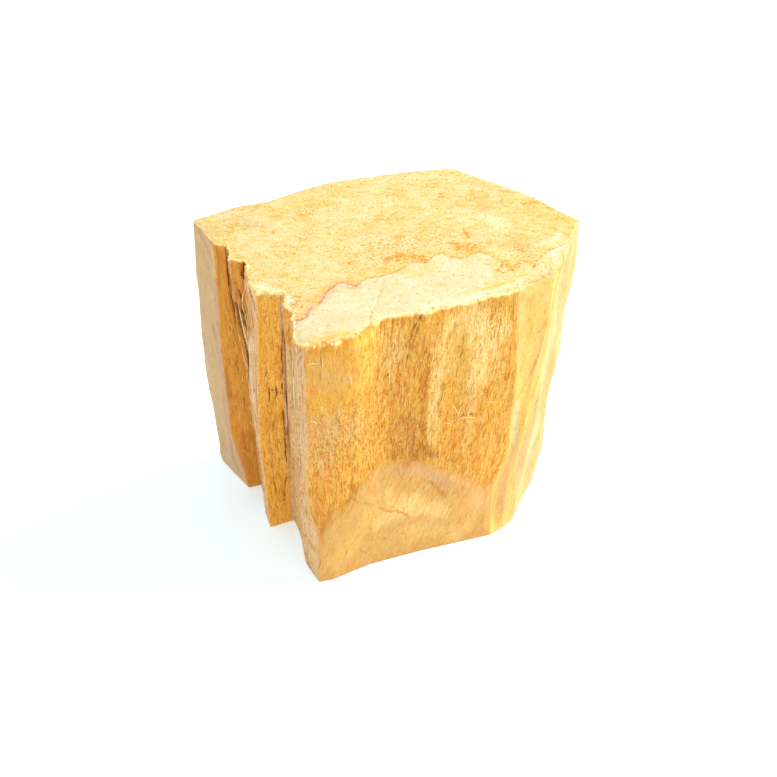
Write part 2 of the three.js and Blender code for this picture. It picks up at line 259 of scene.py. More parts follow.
def cad_rings():
    """The rings of points of the CAD solid's wall from foot to top: rings x points x 3."""
    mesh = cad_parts[NODE].data
    corners = np.empty(len(mesh.vertices) * 3, np.float32)
    mesh.vertices.foreach_get("co", corners)
    corners = np.round(corners.reshape(-1, 3) / MM, 3)
    places, index = np.unique(corners, axis=0, return_inverse=True)
    used = np.empty(len(mesh.loops), np.int32)
    mesh.loops.foreach_get("vertex_index", used)
    opposite = {}
    for a, b, c in index.ravel()[used].reshape(-1, 3).tolist():
        opposite[a, b], opposite[b, c], opposite[c, a] = c, a, b
    low = places[:, 2] < TOLERANCE
    following = {a: b for (a, b), c in opposite.items() if low[a] and low[b] and not low[c]}
    ring = [min(following, key=lambda i: places[i, 0])]
    while following[ring[-1]] != ring[0]:
        ring.append(following[ring[-1]])
    rings = [ring]
    while places[rings[-1], 2].min() < HEIGHT - TOLERANCE:
        ring = rings[-1]
        above = [opposite[a, b] for a, b in zip(ring, ring[1:] + ring[:1])]
        rings.append(above[-1:] + above[:-1])
    return np.array([places[ring] for ring in rings])


def spread(points, counts):
    """Puts counts[i] even steps between points i and i + 1, on the first axis."""
    steps = []
    for start, end, count in zip(points[:-1], points[1:], counts):
        steps += [start + (end - start) * k / count for k in range(count)]
    return np.array(steps)


def soften(grid, axis, times):
    """Evens out a grid along one axis. The first axis keeps its ends, and the second is a ring."""
    for _ in range(times):
        softer = (np.roll(grid, 1, axis) + 2 * grid + np.roll(grid, -1, axis)) / 4
        if axis == 0:
            softer[0], softer[-1] = grid[0], grid[-1]
        grid = softer
    return grid


def fine_columns(rings):
    """The CAD rings with more columns of points, which lie closest where the wall is split."""
    outline = np.swapaxes(np.concatenate([rings, rings[:, :1]], axis=1), 0, 1)
    widths = np.linalg.norm(np.diff(outline, axis=0)[:, :, :2], axis=2).mean(axis=1)
    x, y = rings[len(rings) // 2, :, :2].T
    split = np.where(x < FRONT_CORNER[0] - 0.5, CLEFT_SPACING, SPLIT_SPACING)
    spacing = np.where((x > SPLIT_LEFT) & (y < SPLIT_BACK), split, HEWN_SPACING)
    counts = np.maximum(1, np.round(widths / spacing)).astype(int)
    return soften(np.swapaxes(spread(outline, counts), 0, 1), 1, 2)


def rows_between(low, high):
    """How many rows of the fine mesh fill the gap between two CAD rings."""
    spacing = ROW_SPACING if high < HEIGHT - RIM_DEPTH else RIM_SPACING
    return max(1, round((high - low) / spacing))


class Wall:
    """The wall of the block. place is rows x columns x 3, reach is each column's, spot is
    the (reach, height) of each place, and shoulder is the row that lies along the arch."""

    def __init__(self):
        columns = fine_columns(cad_rings())
        heights = columns[:, :, 2].mean(axis=1)
        counts = [rows_between(*gap) for gap in zip(heights[:-2], heights[1:-1])] + [RIM_ROWS]
        rows = np.concatenate([spread(columns, counts), columns[-1:]])
        self.shoulder = sum(counts[:SHOULDER_RING])
        self.place = self.softened(rows)
        self.height = self.place[:, :, 2]
        middle_row = np.abs(self.height.mean(axis=1) - MIDDLE).argmin()
        self.outline = self.place[middle_row, :, :2]
        steps = np.linalg.norm(np.roll(self.outline, -1, 0) - self.outline, axis=1)
        travelled = np.concatenate([[0], np.cumsum(steps)[:-1]])
        self.length = steps.sum()
        past_corner = travelled - travelled[self.column_at(*FRONT_CORNER)]
        self.reach = (past_corner + self.length / 2) % self.length - self.length / 2
        reaches = np.broadcast_to(self.reach, self.height.shape)
        self.spot = np.stack([reaches, self.height], axis=2)

    def softened(self, rows):
        """The rows evened out above and below the arch, and more so near it."""
        below, above = rows[: self.shoulder + 1], rows[self.shoulder + 1:]
        place = np.concatenate([soften(below, 0, 3), soften(above, 0, 3)])
        past_arch = (np.arange(len(place)) - self.shoulder)[:, None, None]
        return place + (soften(place, 0, 8) - place) * hump(past_arch, 0, SHOULDER_ROWS)

    def column_at(self, x, y):
        """The column that is nearest to x, y at half height."""
        return int(np.hypot(self.outline[:, 0] - x, self.outline[:, 1] - y).argmin())

    def outward(self, place):
        """Unit vectors out of the wall, for a grid of places."""
        across = np.roll(place, -1, 1) - np.roll(place, 1, 1)
        out = np.cross(across, np.gradient(place, axis=0))
        return out / np.linalg.norm(out, axis=2, keepdims=True)

    def by_wall(self, values, blend):
        """For each column, the value of the wall that it is in, blended at the corners."""
        starts = np.array([self.column_at(x, y) for _, x, y, *_ in WALLS])
        order = np.argsort(starts)
        columns = np.arange(len(self.reach))
        index = order[np.searchsorted(starts[order], columns, side="right") - 1]
        return soften(np.asarray(values, float)[index][None], 1, blend)[0]

    def kind(self, field):
        """For each column, what WALLS says of the wall that it is in."""
        index = WALL_FIELDS.index(field)
        return self.by_wall([wall[index] for wall in WALLS], CORNER_BLEND)

    def share_of(self, first, last, blend=CORNER_BLEND):
        """1 on the walls from first to last, and 0 on the others, for each column."""
        names = [name for name, *_ in WALLS]
        chosen = range(names.index(first), names.index(last) + 1)
        return self.by_wall([float(i in chosen) for i in range(len(names))], blend)

    def low_front(self):
        """1 on the hewn facets below the arch at the front, and 0 elsewhere."""
        rows = np.arange(len(self.place))[:, None]
        return (rows <= self.shoulder) * self.share_of("front", "front")

    def grain(self):
        """Place of each fibre at half height, with its height: noise over this runs with the grain."""
        lean = LEAN * self.share_of("front", "front", 30) * ease(self.outline[:, 0], *LEAN_X)
        lean = lean + LOW_LEAN * self.low_front()
        at_middle = self.reach - lean * (self.height - MIDDLE)
        grain = np.array(self.place)
        for axis in range(2):
            along = self.outline[:, axis]
            grain[:, :, axis] = np.interp(at_middle, self.reach, along, period=self.length)
        return grain


# Features, from the photo

# Dark slits between the fibres: half width, depth, how broken they are, places.
SLITS = [
    (0.26, 0.5, 0.3, [(-54.2, 91), (-54.5, 80), (-53.8, 70), (-54.4, 54)]),
    (0.32, 0.9, 0.1, [(-45.8, 78), (-45.4, 69), (-44.3, 60), (-43.8, 53)]),
    (0.38, 1.2, 0.0, [(-45, 77.7), (-44.7, 74.5), (-43.9, 70.2)]),
    (0.50, 1.0, 0.0, [(-43.9, 89.4), (-44.2, 87.2)]),
    (0.24, 0.6, 0.2, [(-43.9, 91.5), (-43.9, 84)]),
    (0.30, 0.7, 0.1, [(-43.9, 81.8), (-43.6, 78.6)]),
    (0.24, 0.6, 0.2, [(-45.3, 83), (-44.8, 79), (-44.9, 75.6)]),
    (0.25, 0.6, 0.3, [(-45.6, 57), (-44.2, 51.5)]),
    (0.34, 0.9, 0.1, [(-40.4, 81.5), (-39.9, 78.5), (-38.8, 75.5), (-38.2, 71)]),
    (0.30, 0.6, 0.3, [(-36.5, 77.6), (-35.4, 76.6)]),
    (0.30, 0.6, 0.1, [(-34.6, 91.4), (-34.2, 89.2), (-33.4, 87.4), (-33, 84.5)]),
    (0.24, 0.5, 0.4, [(-35.7, 74), (-35.2, 64), (-34.8, 52)]),
    (0.22, 0.5, 0.5, [(-37.4, 84), (-37, 76)]),
    (0.32, 0.7, 0.3, [(-40, 45.7), (-39.6, 39.4)]),
    (0.24, 0.5, 0.4, [(-34.2, 54), (-33, 51.6), (-31.5, 47)]),
    (0.30, 0.4, 0.4, [(-54.4, 22), (-54.2, 17.5), (-54.6, 8.3)]),
    (0.30, 0.5, 0.5, [(-22.8, 57), (-22.6, 47)]),
    (0.36, 0.6, 0.2, [(-17.8, 55), (-17.6, 45.3), (-16.4, 36.3), (-15.8, 27)]),
    (0.26, 0.4, 0.5, [(-24.4, 51), (-24.4, 39.6), (-24.4, 27.5)]),
    (0.24, 0.3, 0.8, [(-16.2, 82.5), (-15, 75.3), (-13.4, 72.7), (-12.9, 60), (-13.3, 54)]),
    (0.24, 0.3, 0.7, [(-5.6, 56), (-3.6, 52), (-2.2, 46)]),
    (0.20, 0.3, 0.9, [(-8.4, 69), (-6.4, 60), (-6.2, 49), (-4.4, 36)]),
    (0.24, 0.4, 0.8, [(-23.1, 81), (-23.6, 75.4), (-24, 69.7), (-23.6, 66.8), (-24.4, 61.8), (-24.4, 57)]),
    (0.22, 0.3, 0.5, [(-28, 66), (-28.8, 64.7), (-29.2, 62.7)]),
    (0.22, 0.3, 0.6, [(-28.4, 62.6), (-28, 57), (-28.4, 52.8)]),
    (0.22, 0.3, 0.6, [(-26, 60), (-26, 56.5), (-26.8, 54)]),
    (0.20, 0.3, 0.7, [(-28.4, 30.4), (-28.4, 20), (-28, 13)]),
    (0.20, 0.3, 0.7, [(-24.8, 23), (-25.6, 15.5), (-26, 8)]),
    (0.24, 0.2, 0.6, [(-26.8, 36), (-26.8, 34.4), (-26, 32.9)]),
    (0.22, 0.2, 0.9, [(33.1, 91.9), (32, 90), (30.5, 87.6), (30, 84)]),
    (0.20, 0.2, 0.9, [(29.6, 82), (29, 77.1), (28.6, 74.6)]),
    (0.22, 0.2, 0.3, [(23.8, 74.2), (23.8, 71.6)]),
    (0.44, 0.3, 0.6, [(44.3, 52.2), (46.2, 52.6), (48.6, 52.2)]),
    (0.16, 0.1, 1.0, [(44.5, 86.3), (44.1, 79.2), (43.7, 71)]),
]
# Brown stains that show as separate fibres and grains, some of them partly painted shade along the arch:
# half width, strength, places.
FIBRE_STAINS = [
    (4.6, 0.40, [(29, 60), (29.5, 54), (30.5, 43)]),
    (1.6, 0.55, [(34, 53), (34.8, 46), (35.2, 39.5)]),
    # Partly painted shade: the crease above the arch.
    (1.8, 0.72, [(33.4, 43), (35.4, 42), (36.6, 39)]),
    (1.4, 0.66, [(26.2, 46), (25.8, 40.6)]),
    (1.1, 0.62, [(32.4, 91), (30.6, 84), (29, 75)]),
    (1.8, 0.40, [(34.8, 78), (34.4, 66), (34.2, 56)]),
    # Partly painted shade: the crease above the arch.
    (1.0, 0.60, [(36.5, 39.4), (40, 37), (44, 34)]),
    (0.9, 0.55, [(33.1, 32), (37.1, 28.3), (40.2, 22.9)]),
    (1.1, 0.45, [(26, 38), (26.2, 33.4)]),
    # Partly painted shade: the crease above the arch.
    (0.8, 0.55, [(14.6, 41), (20, 41.4), (23.4, 41.4)]),
    # Partly painted shade: the crease above the arch.
    (0.9, 0.50, [(5, 31), (8, 35), (12, 39)]),
    (2.2, 0.35, [(10, 64), (11, 54), (12, 46)]),
    (0.9, 0.45, [(20.5, 76), (20.4, 68)]),
    (2.5, 0.30, [(53, 88), (50, 80)]),
    (0.9, 0.45, [(56, 44), (56.4, 38)]),
    (0.5, 0.70, [(13.1, 8.8), (15, 6.9)]),
    (0.5, 0.60, [(49.3, 12.2), (49.8, 10.4)]),
    (0.5, 0.60, [(46, 24.4), (46.2, 23)]),
    (1.0, 0.85, [(-27, 58.3), (-25.6, 57.3), (-24.2, 56.6)]),
    (1.9, 0.40, [(-27.4, 54), (-27, 40), (-26.4, 28)]),
    (1.2, 0.55, [(-16, 86), (-15.2, 72), (-14.6, 58)]),
    (0.7, 0.60, [(-1.7, 91.2), (-1.1, 88.5), (-3.5, 83.1)]),
    (1.0, 0.50, [(-44.6, 66), (-44.2, 60)]),
    (1.4, 0.45, [(-56.6, 70), (-56.6, 50), (-56.6, 30)]),
]
# Soft stains, and some painted shade: colour, half width, strength, places.
STAINS = [
    (BROWN, 5.0, 0.22, [(27.5, 82), (27, 64)]),
    (BROWN, 5.5, 0.50, [(29, 53), (29.5, 42)]),
    (TAN, 6.0, 0.45, [(4, 64), (12, 60)]),
    (PALE, 4.0, 0.35, [(24, 87), (25, 77)]),
    (AMBER, 5.0, 0.34, [(6, 85), (13, 82), (16, 78)]),
    (BROWN, 4.5, 0.07, [(-27, 48), (-27, 12)]),
    (FRESH, 1.6, 0.50, [(-22.6, 90), (-22.6, 80)]),
    (BROWN, 3.0, 0.38, [(1.5, 38), (2, 26)]),
    (AMBER, 1.8, 0.60, [(68.8, 91), (68.4, 76), (68.4, 62), (67.4, 50)]),
    (BROWN, 4.5, 0.22, [(38, 27), (48, 24), (57, 20)]),
    (BLUSH, 4.0, 0.50, [(64, 10), (65, 20), (65.5, 30)]),
    (PALE, 1.2, 0.45, [(38.8, 86), (38, 70), (37.7, 44)]),
    (PALE, 2.4, 0.30, [(48, 82), (47.5, 60), (46, 38)]),
    (PALE, 4.5, 0.45, [(50, 86), (55, 82)]),
    (GOLD, 4.5, 0.42, [(17, 90), (22, 86), (17, 76)]),
    (TAN, 4.0, 0.50, [(3, 64), (4.5, 56), (5, 48)]),
    (TAN, 5.0, 0.35, [(4, 84), (11, 80)]),
    (ORANGE, 1.2, 0.60, [(0.4, 77.4), (3.2, 77)]),
    (ORANGE, 0.4, 0.60, [(3, 79.4), (3, 75.6)]),
    (ORANGE, 1.4, 0.45, [(12, 82.5), (14.4, 80.6)]),
    (MAUVE, 0.4, 0.45, [(0, 80.3), (4, 80.9), (9, 81.4)]),
    (MAUVE, 0.4, 0.40, [(0, 77.8), (5, 77.4), (9, 76.6)]),
    (ORANGE, 1.6, 0.35, [(45, 38), (50, 34), (57, 29)]),
    (ORANGE, 1.8, 0.60, [(5.4, 47.6), (8.6, 46.6), (11.5, 44.4)]),
    (ORANGE, 1.2, 0.40, [(1.2, 66), (1.5, 58)]),
    # Partly painted shade: the crease above the arch.
    (RED_BROWN, 1.2, 0.25, [(0.8, 21.6), (3.4, 26.8), (6.3, 31.2)]),
    (AMBER, 4.0, 0.40, [(3, 42), (3, 28)]),
    (AMBER, 5.0, 0.48, [(43, 56), (45, 42)]),
    (PALE, 5.0, 0.52, [(44, 88), (53, 76), (50, 66)]),
    (PALE, 0.9, 0.50, [(36.6, 80), (36.3, 62), (36, 44)]),
    (BROWN, 1.2, 0.35, [(34, 80), (34, 60), (34.2, 42)]),
    (PALE, 1.6, 0.45, [(23.4, 31), (24.2, 26.5)]),
    (PALE, 4.0, 0.48, [(21, 19), (29, 24), (38, 18)]),
    (PALE, 4.5, 0.22, [(30, 11), (45, 6)]),
    (PALE, 4.5, 0.22, [(41, 86), (42, 72)]),
    (GOLD, 4.0, 0.30, [(6, 8), (12, 16), (17, 24)]),
    (MAUVE, 3.0, 0.35, [(28, 37), (35, 33), (41, 29)]),
    (TAN, 4.0, 0.35, [(45, 26), (52, 20), (56, 12)]),
    (BROWN, 1.6, 0.30, [(48, 2.4), (59, 1.6)]),
    (ORANGE, 1.9, 0.60, [(56.2, 74.8), (60.6, 74.2)]),
    (BLUSH, 1.2, 0.50, [(61.2, 90), (61.4, 76), (61.2, 64)]),
    (BLUSH, 1.6, 0.50, [(67.6, 86), (66.6, 70), (66.6, 58)]),
    (CREAM, 1.3, 0.60, [(62, 50), (62.4, 44), (63.6, 34)]),
    (ORANGE, 0.6, 0.45, [(66, 76), (66, 66), (64.2, 58), (61.6, 53.5)]),
    (ORANGE, 0.6, 0.30, [(62.4, 88), (62.7, 76), (62, 60)]),
    (ORANGE, 0.8, 0.35, [(67.6, 20), (68.8, 15.5)]),
    (RED_BROWN, 1.0, 0.55, [(-59.1, 91), (-58.6, 87), (-59.9, 79)]),
    (ORANGE, 1.0, 0.50, [(-60.3, 32.2), (-59.5, 26.3), (-57.7, 16.2)]),
    (RED_BROWN, 0.8, 0.35, [(-55.7, 30), (-56.2, 20)]),
    (ORANGE, 1.0, 0.65, [(-24.8, 74), (-24.8, 62)]),
    (AMBER, 2.0, 1.00, [(-16.5, 91.4), (-16.3, 86), (-16.5, 81)]),
    (ROSE, 1.4, 0.60, [(-69.9, 91), (-65.5, 89), (-61.8, 85)]),
    (ROSE, 1.2, 0.65, [(-65, 62), (-63.8, 56.9), (-62.7, 51.3), (-61.2, 44)]),
    (ROSE, 1.0, 0.65, [(-63.2, 38), (-64, 22), (-66.4, 9.5), (-64.3, 4)]),
    (MAUVE, 3.0, 0.45, [(-70, 66), (-71, 48)]),
    (MAUVE, 1.8, 0.65, [(-62.4, 80), (-62.6, 66), (-62.2, 46), (-63.2, 24), (-62, 6)]),
    (PALE, 1.0, 0.30, [(-61.6, 90), (-61.8, 82)]),
    # Painted shade: darker where the foot of the first cleft lies in shadow.
    (RED_BROWN, 3.2, 0.50, [(-45, 2), (-43, 8), (-40, 14), (-38, 20)]),
    (RED_BROWN, 0.9, 0.60, [(-58.2, 24), (-57.7, 16)]),
    (RED_BROWN, 0.8, 0.60, [(-60.3, 50), (-60.2, 39)]),
    (FRESH, 1.8, 0.80, [(-43.3, 68), (-42.8, 52), (-42, 30)]),
    (BROWN, 1.5, 0.30, [(100, 80), (104, 58)]),
    (ORANGE, 2.0, 0.25, [(122, 60), (118, 30)]),
    (BROWN, 1.6, 0.30, [(-100, 70), (-104, 40)]),
    (ORANGE, 2.4, 0.25, [(-122, 84), (-126, 52)]),
]
# Fine rusty lines on the wall: half width, places.
RUSTY_LINES = [
    (0.36, [(75.4, 91.7), (70.4, 90.4), (68.2, 86.6), (66.6, 80), (66, 76)]),
    (0.22, [(66, 76), (66, 68), (64.6, 60)]),
    (0.44, [(9.6, 31.6), (11.8, 33.4), (12.6, 32.2), (13.4, 31.2)]),
    (0.42, [(15.2, 30.1), (17.1, 27.9)]),
    (0.44, [(19.4, 25.9), (21.9, 24.4), (23.2, 23.1), (26, 22.1), (28.8, 19.2)]),
    (0.40, [(36.2, 29.3), (37.9, 26.5), (40, 23.7)]),
    (0.34, [(0.8, 17), (3.2, 25.6), (6.3, 30.6)]),
    (0.24, [(45.3, 12), (45.4, 9)]),
    (0.18, [(-1.4, 88), (-1.2, 74), (-1.4, 60)]),
    (0.20, [(-28.3, 50), (-28.7, 38), (-28.2, 28)]),
]
# The wavy line that a fungus left across the sawn top, x, y, and its half width at some x.
WAVY_LINE = [
    (-20.9, -27.2), (-19.2, -26.7), (-18.2, -25.8), (-17.8, -23.8), (-16.8, -22.1), (-15.5, -21.4),
    (-14.3, -18.3), (-13.8, -16.5), (-12.5, -14.7), (-11.3, -12.9), (-9.6, -12.9), (-7.9, -13.7),
    (-6.6, -14.2), (-5.3, -12.1), (-3.3, -11.1), (-0.7, -10.4), (1, -9.5), (2.6, -9.3), (4.3, -7.6),
    (6, -6.2), (7.4, -5), (9.1, -4.7), (10.8, -5), (11.7, -3.7), (12.9, -2.1), (15.2, -0.8),
    (17, -2.6), (19.7, -3.3), (22, -1.9), (24.7, -0.3), (27.3, -1.7), (29.5, -3.9), (30.4, -4.8),
    (29.8, -6.8), (28.5, -8.3), (30.3, -9.2), (31.5, -8.4), (32.3, -9), (33.3, -7.4), (34.4, -6.5),
    (34.5, -3.7), (36.6, -4.6), (38.4, -6.9), (38.3, -5.2), (39.8, -3.4), (42.2, -0.1), (45.6, 1.9),
    (47.5, 3.2), (50, 6.8), (51, 8),
]
LINE_WIDTH = [(-22, 0.32), (-6, 0.27), (2, 0.25), (50, 0.22)]
# Fine dotted cracks in the sawn top.
TOP_CRACKS = [
    [(0, -11.6), (-0.6, -15.2), (-1.7, -21.9), (-2.8, -24.8), (-3.6, -30.4)],
    [(-20.4, -15.2), (-18.8, -14.2), (-17.8, -15.2), (-14.5, -15.5)],
]
# Soft stains on the sawn top, and a painted highlight along its front rim: colour, radius, strength,
# places.
TOP_STAINS = [
    (MAUVE, 1.8, 0.42, [(-20.9, -27.2), (-17.8, -23.8), (-14.3, -18.3), (-11.3, -12.9), (-6.6, -14.2)]),
    (GOLD, 0.9, 0.50, [(32.7, -11.3), (30.4, -13.5), (25.1, -13.7)]),
    (GOLD, 2.4, 0.40, [(5, -8.4), (9, -9.4), (13, -6.2)]),
    (WHITE, 3.0, 0.30, [(27.4, 14.6), (30.6, 12.8)]),
    (TAN, 9.0, 0.20, [(26, 24), (36, 18), (44, 8)]),
    (AMBER, 1.0, 0.65, [(-16.8, -35.6), (-15.6, -35.2)]),
    (AMBER, 0.9, 0.60, [(-12.8, -33.7), (-11.4, -33.3)]),
    (GOLD, 1.0, 0.60, [(-9.2, -32.4), (-7.2, -31.8)]),
    (GOLD, 1.8, 0.50, [(-17, -34.6), (-13.4, -33), (-9, -31.6)]),
    (TAN, 3.0, 0.30, [(25, 6.8), (27.7, 3.3), (32.6, 4.5), (38, -1.2)]),
    (WHITE, 1.8, 0.60, [(42.6, 3), (46, 5.8)]),
    (WHITE, 1.2, 0.50, [(43.5, -1.2), (47.5, 4.3)]),
    (GOLD, 2.6, 0.35, [(-30.3, 16.4), (-23.4, 21.4), (-16.1, 20.8)]),
    (MAUVE, 3.4, 0.20, [(-47, 6.8), (-39, 13.3), (-33.5, 11.5)]),
    (WHITE, 1.4, 0.60, [(-31.3, -14.8), (-25, -17), (-23, -20)]),
    # Painted highlight: a white streak along the front rim of the top.
    (WHITE, 1.0, 0.50, [(10, -22), (22, -18.5), (34, -12.5)]),
    (GOLD, 0.6, 0.50, [(20, -16.6), (28, -14.6), (33, -12.6)]),
    (GOLD, 9.0, 0.25, [(38, 18), (46, 12)]),
    (AMBER, 1.3, 0.55, [(52, 10), (49.4, 2), (46.6, -5)]),
]
# Orange stains on it that show as grains: radius, strength, places.
TOP_GRAINS = [
    (2.0, 0.80, [(1.3, -3.8), (4, -2.6), (7.6, -2.2), (9.8, -3.4)]),
    (0.7, 1.20, [(10.6, -3.6), (11.2, -4.9)]),
    (2.2, 0.75, [(18, 3), (20, 1), (23, 1.6)]),
    (1.1, 0.75, [(21.7, 8.3), (22.4, 5.6)]),
    (4.5, 0.35, [(-2, 2), (6, 2), (14, 4)]),
    (1.2, 0.70, [(38.4, 20.8), (42.9, 21.8), (48.8, 16.7), (50.7, 14.6)]),
    (1.1, 0.75, [(50.9, 9.4), (48.3, 1.6), (45.8, -4.6)]),
    (1.3, 0.70, [(37.4, -13), (41.4, -10.3), (42.9, -8.6)]),
    (1.2, 0.55, [(15.6, 23.3), (16.4, 26.5), (18.7, 28.2)]),
    (2.4, 0.45, [(34, 2), (37, -3), (32, -7)]),
    (1.4, 0.50, [(-22.6, 15.6), (-19, 16.4)]),
    (1.2, 0.50, [(-50.1, 13.9), (-46.5, 16.4), (-37.8, 19.5)]),
    (1.3, 0.70, [(-20.8, -18.8), (-21, -21.4), (-20, -21.9)]),
    (0.8, 1.00, [(-8.8, -5.1), (-8.2, -4.9)]),
    (0.8, 0.70, [(-28.9, 8), (-28.4, 7.7)]),
    (0.8, 0.70, [(-10.9, 4.5), (-10.4, 4.2)]),
]
# How far the cream wood of the top reaches down over the wall, at some reaches.
LAPS = [(-60, 0.2), (-46, 0.5), (-10, 0.5), (0, 1.0), (9, 0.9), (17, 0.6), (45, 0.5), (70, 0.2)]
# Orange lumps on that wood: half width, places.
RIM_STAINS = [
    (1.2, [(1.4, 91.6), (4.4, 91)]), (1.1, [(6.4, 92), (8.6, 91.4)]),
    (1.1, [(10.4, 91.9), (13.4, 91.6)]), (0.9, [(16, 92), (18.4, 91.7)]),
]
# How crumbled the rim is, at some reaches.
CRUMBLED = [
    (-140, 0.15), (-62, 0.3), (-46, 1), (-30, 0.8), (-6, 1), (12, 1.2), (20, 0.6), (60, 0.35),
    (80, 0.4), (100, 0.15),
]
# Where the ridge on the right lies: height, reach.
RIDGE = [(5, 72.5), (18, 69), (34, 67.5), (42, 69), (52, 70), (64, 71.5), (76, 70), (90, 71.5)]
# Swellings of the wall: reach, height, size across and up, how far out.
BULGES = [
    (-76, 60, 7, 18, 1.2), (-76, 30, 7, 18, 0.7), (-77, 14, 6, 9, 0.4),
    (84, 45, 12, 36, 0.6), (82, 8, 8, 10, 0.6), (92, 12, 5, 9, 1.0),
]


def near_line(points, line, width, wander):
    """1 along a line on the surface, falling to 0 at about its half width, with a ragged edge."""
    away = distance_to(points, line) / width + STAIN_WANDER * wander
    return 1 - ease(away, *STAIN_FALL)


def blade_cuts(wall):
    """How far blade cuts lie in or out: shallow dishes that meet in crisp ridges."""
    turns = round(wall.length / CUT_WIDTH)
    across = wall.spot[:, :, 0] / wall.length * turns + CUT_SLANT * wall.height / CUT_HEIGHT
    up = wall.height / CUT_HEIGHT
    low_across, low_up = np.floor(across).astype(np.int64), np.floor(up).astype(np.int64)
    nearest = np.full(across.shape, np.inf)
    for i, j in itertools.product((-1, 0, 1), repeat=2):
        cell = np.stack([(low_across + i) % turns, low_up + j, np.zeros_like(low_up)], axis=2)
        aside = low_across + i + 0.5 + CUT_SCATTER * lattice(cell, SEED + 51) - across
        above = low_up + j + 0.5 + CUT_SCATTER * lattice(cell, SEED + 52) - up
        depth = aside**2 + above**2 + CUT_VARIETY * lattice(cell, SEED + 53)
        nearest = np.minimum(nearest, depth)
    return nearest - CUT_LEVEL


class Skin:
    """Everything that a mesh of wood is made of: places, and for each what its material
    reads. tint is its colour, grain runs with the fibres, end is 1 on end grain and 0 on
    the walls, stain is how much brown shows in the grain, and slit and line are the
    distances to the nearest dark slit and rusty line."""

    # The kind of each field's attribute on a mesh, and what Blender calls its values.
    FIELDS = {
        "tint": ("FLOAT_COLOR", "color"), "grain": ("FLOAT_VECTOR", "vector"),
        **dict.fromkeys(("end", "fibrous", "sandy", "stain", "slit", "line"), ("FLOAT", "value")),
    }
    FAR = 9.0

    def __init__(self, place, tint=END_GRAIN):
        shape = place.shape[:-1]
        self.place = place
        self.grain = np.array(place)
        self.tint = np.ones((*shape, 3)) * tint
        self.end = np.ones(shape)
        self.fibrous = np.ones(shape)
        self.sandy = np.ones(shape)
        self.stain = np.zeros(shape)
        self.slit = np.full(shape, self.FAR)
        self.line = np.full(shape, self.FAR)

    def paint(self, share, colour):
        share = np.clip(share, 0, 1)[..., None]
        self.tint = self.tint * (1 - share) + np.asarray(colour) * share

    def add_stains(self, spots, soft, grainy, wander):
        """Paints soft stains, and notes those that show in the grain."""
        for colour, width, strength, line in soft:
            self.paint(strength * near_line(spots, line, width, wander), colour)
        for width, strength, line in grainy:
            stain = strength * near_line(spots, line, width, wander)
            self.stain = np.maximum(self.stain, stain)


def top_height(points, rim_distance):
    """Height of the sawn top: saw marks, crumbled grain and a worn rim."""
    flat = grounded(points)
    waver = 1.5 * lumps(flat, (30, 8, 9), 31, 1)
    across_marks = points[:, 1] + SAW_SLANT * points[:, 0] + waver
    saw = 0.03 * np.sin(across_marks * 2 * math.pi / SAW_PITCH)
    crumbs = 0.08 * lumps(flat, (2.2, 1.4, 9), 32, 2)
    waves = 0.25 * lumps(flat, (22, 14, 9), 33, 2)
    burr = ease(-points[:, 1], 24, 32) * ease(-points[:, 0], -2, 6)
    worn = (0.12 + 0.25 * burr) * np.exp(-rim_distance / 0.7)
    chips = np.maximum(0, lumps(flat, (2.2, 2.2, 9), 34, 2))
    chipped = (0.2 + 0.25 * burr) * np.exp(-rim_distance / 1.8) * chips
    crack = 0.2 * (1 - ease(distance_to(points, TOP_CRACKS[0]), 0.1, 0.5))
    groove = 0.08 * (1 - ease(distance_to(points, WAVY_LINE), 0, 0.6))
    return HEIGHT + 0.05 + saw + crumbs + waves - worn - chipped - crack - groove


def set_kinds(skin, wall):
    """What colour each wall is, and how fibrous and how sandy it looks."""
    height, reach = wall.height, wall.reach
    front = wall.share_of("front", "front")
    ragged = 2.0 * lumps(skin.grain, (1.8, 1.8, 3.6), 11, 3)
    past_arch = height - height[wall.shoulder] + ragged
    below = front * (1 - ease(past_arch, -1.2, 1.2))
    calm = ease(reach, -1, 1) * (1 - ease(reach, 10, 24)) * ease(height, 54, 68)
    calm = np.maximum(calm, 0.6 * hump(reach, 45, 7) * ease(height, 60, 70))
    smooth = wall.share_of("second column", "second column", 3) * (1 - ease(height, 44, 58))
    rough = hump(reach, 54, 6) * ease(height, 76, 84)
    mealy = front * ease(height, 40, 48) * (1 - ease(height, 66, 76)) * (1 - ease(reach, 20, 28))
    skin.fibrous = wall.kind("fibrous") * (1 - 0.6 * below) * (1 - 0.6 * calm) + 0.2 * smooth
    sandy = wall.kind("sandy") * (1 - 0.6 * below) * (1 - 0.75 * smooth)
    skin.sandy = np.maximum(sandy, rough) + 0.8 * mealy
    skin.end = np.zeros(height.shape)
    skin.tint = np.broadcast_to(wall.kind("colour"), wall.place.shape).copy()
    skin.paint(below, LOW_FACETS)
    ridge = read_off(RIDGE, height)
    skin.paint(ease(reach, ridge - 0.4, ridge + 0.4) * (reach < 80), PALE_CUT)


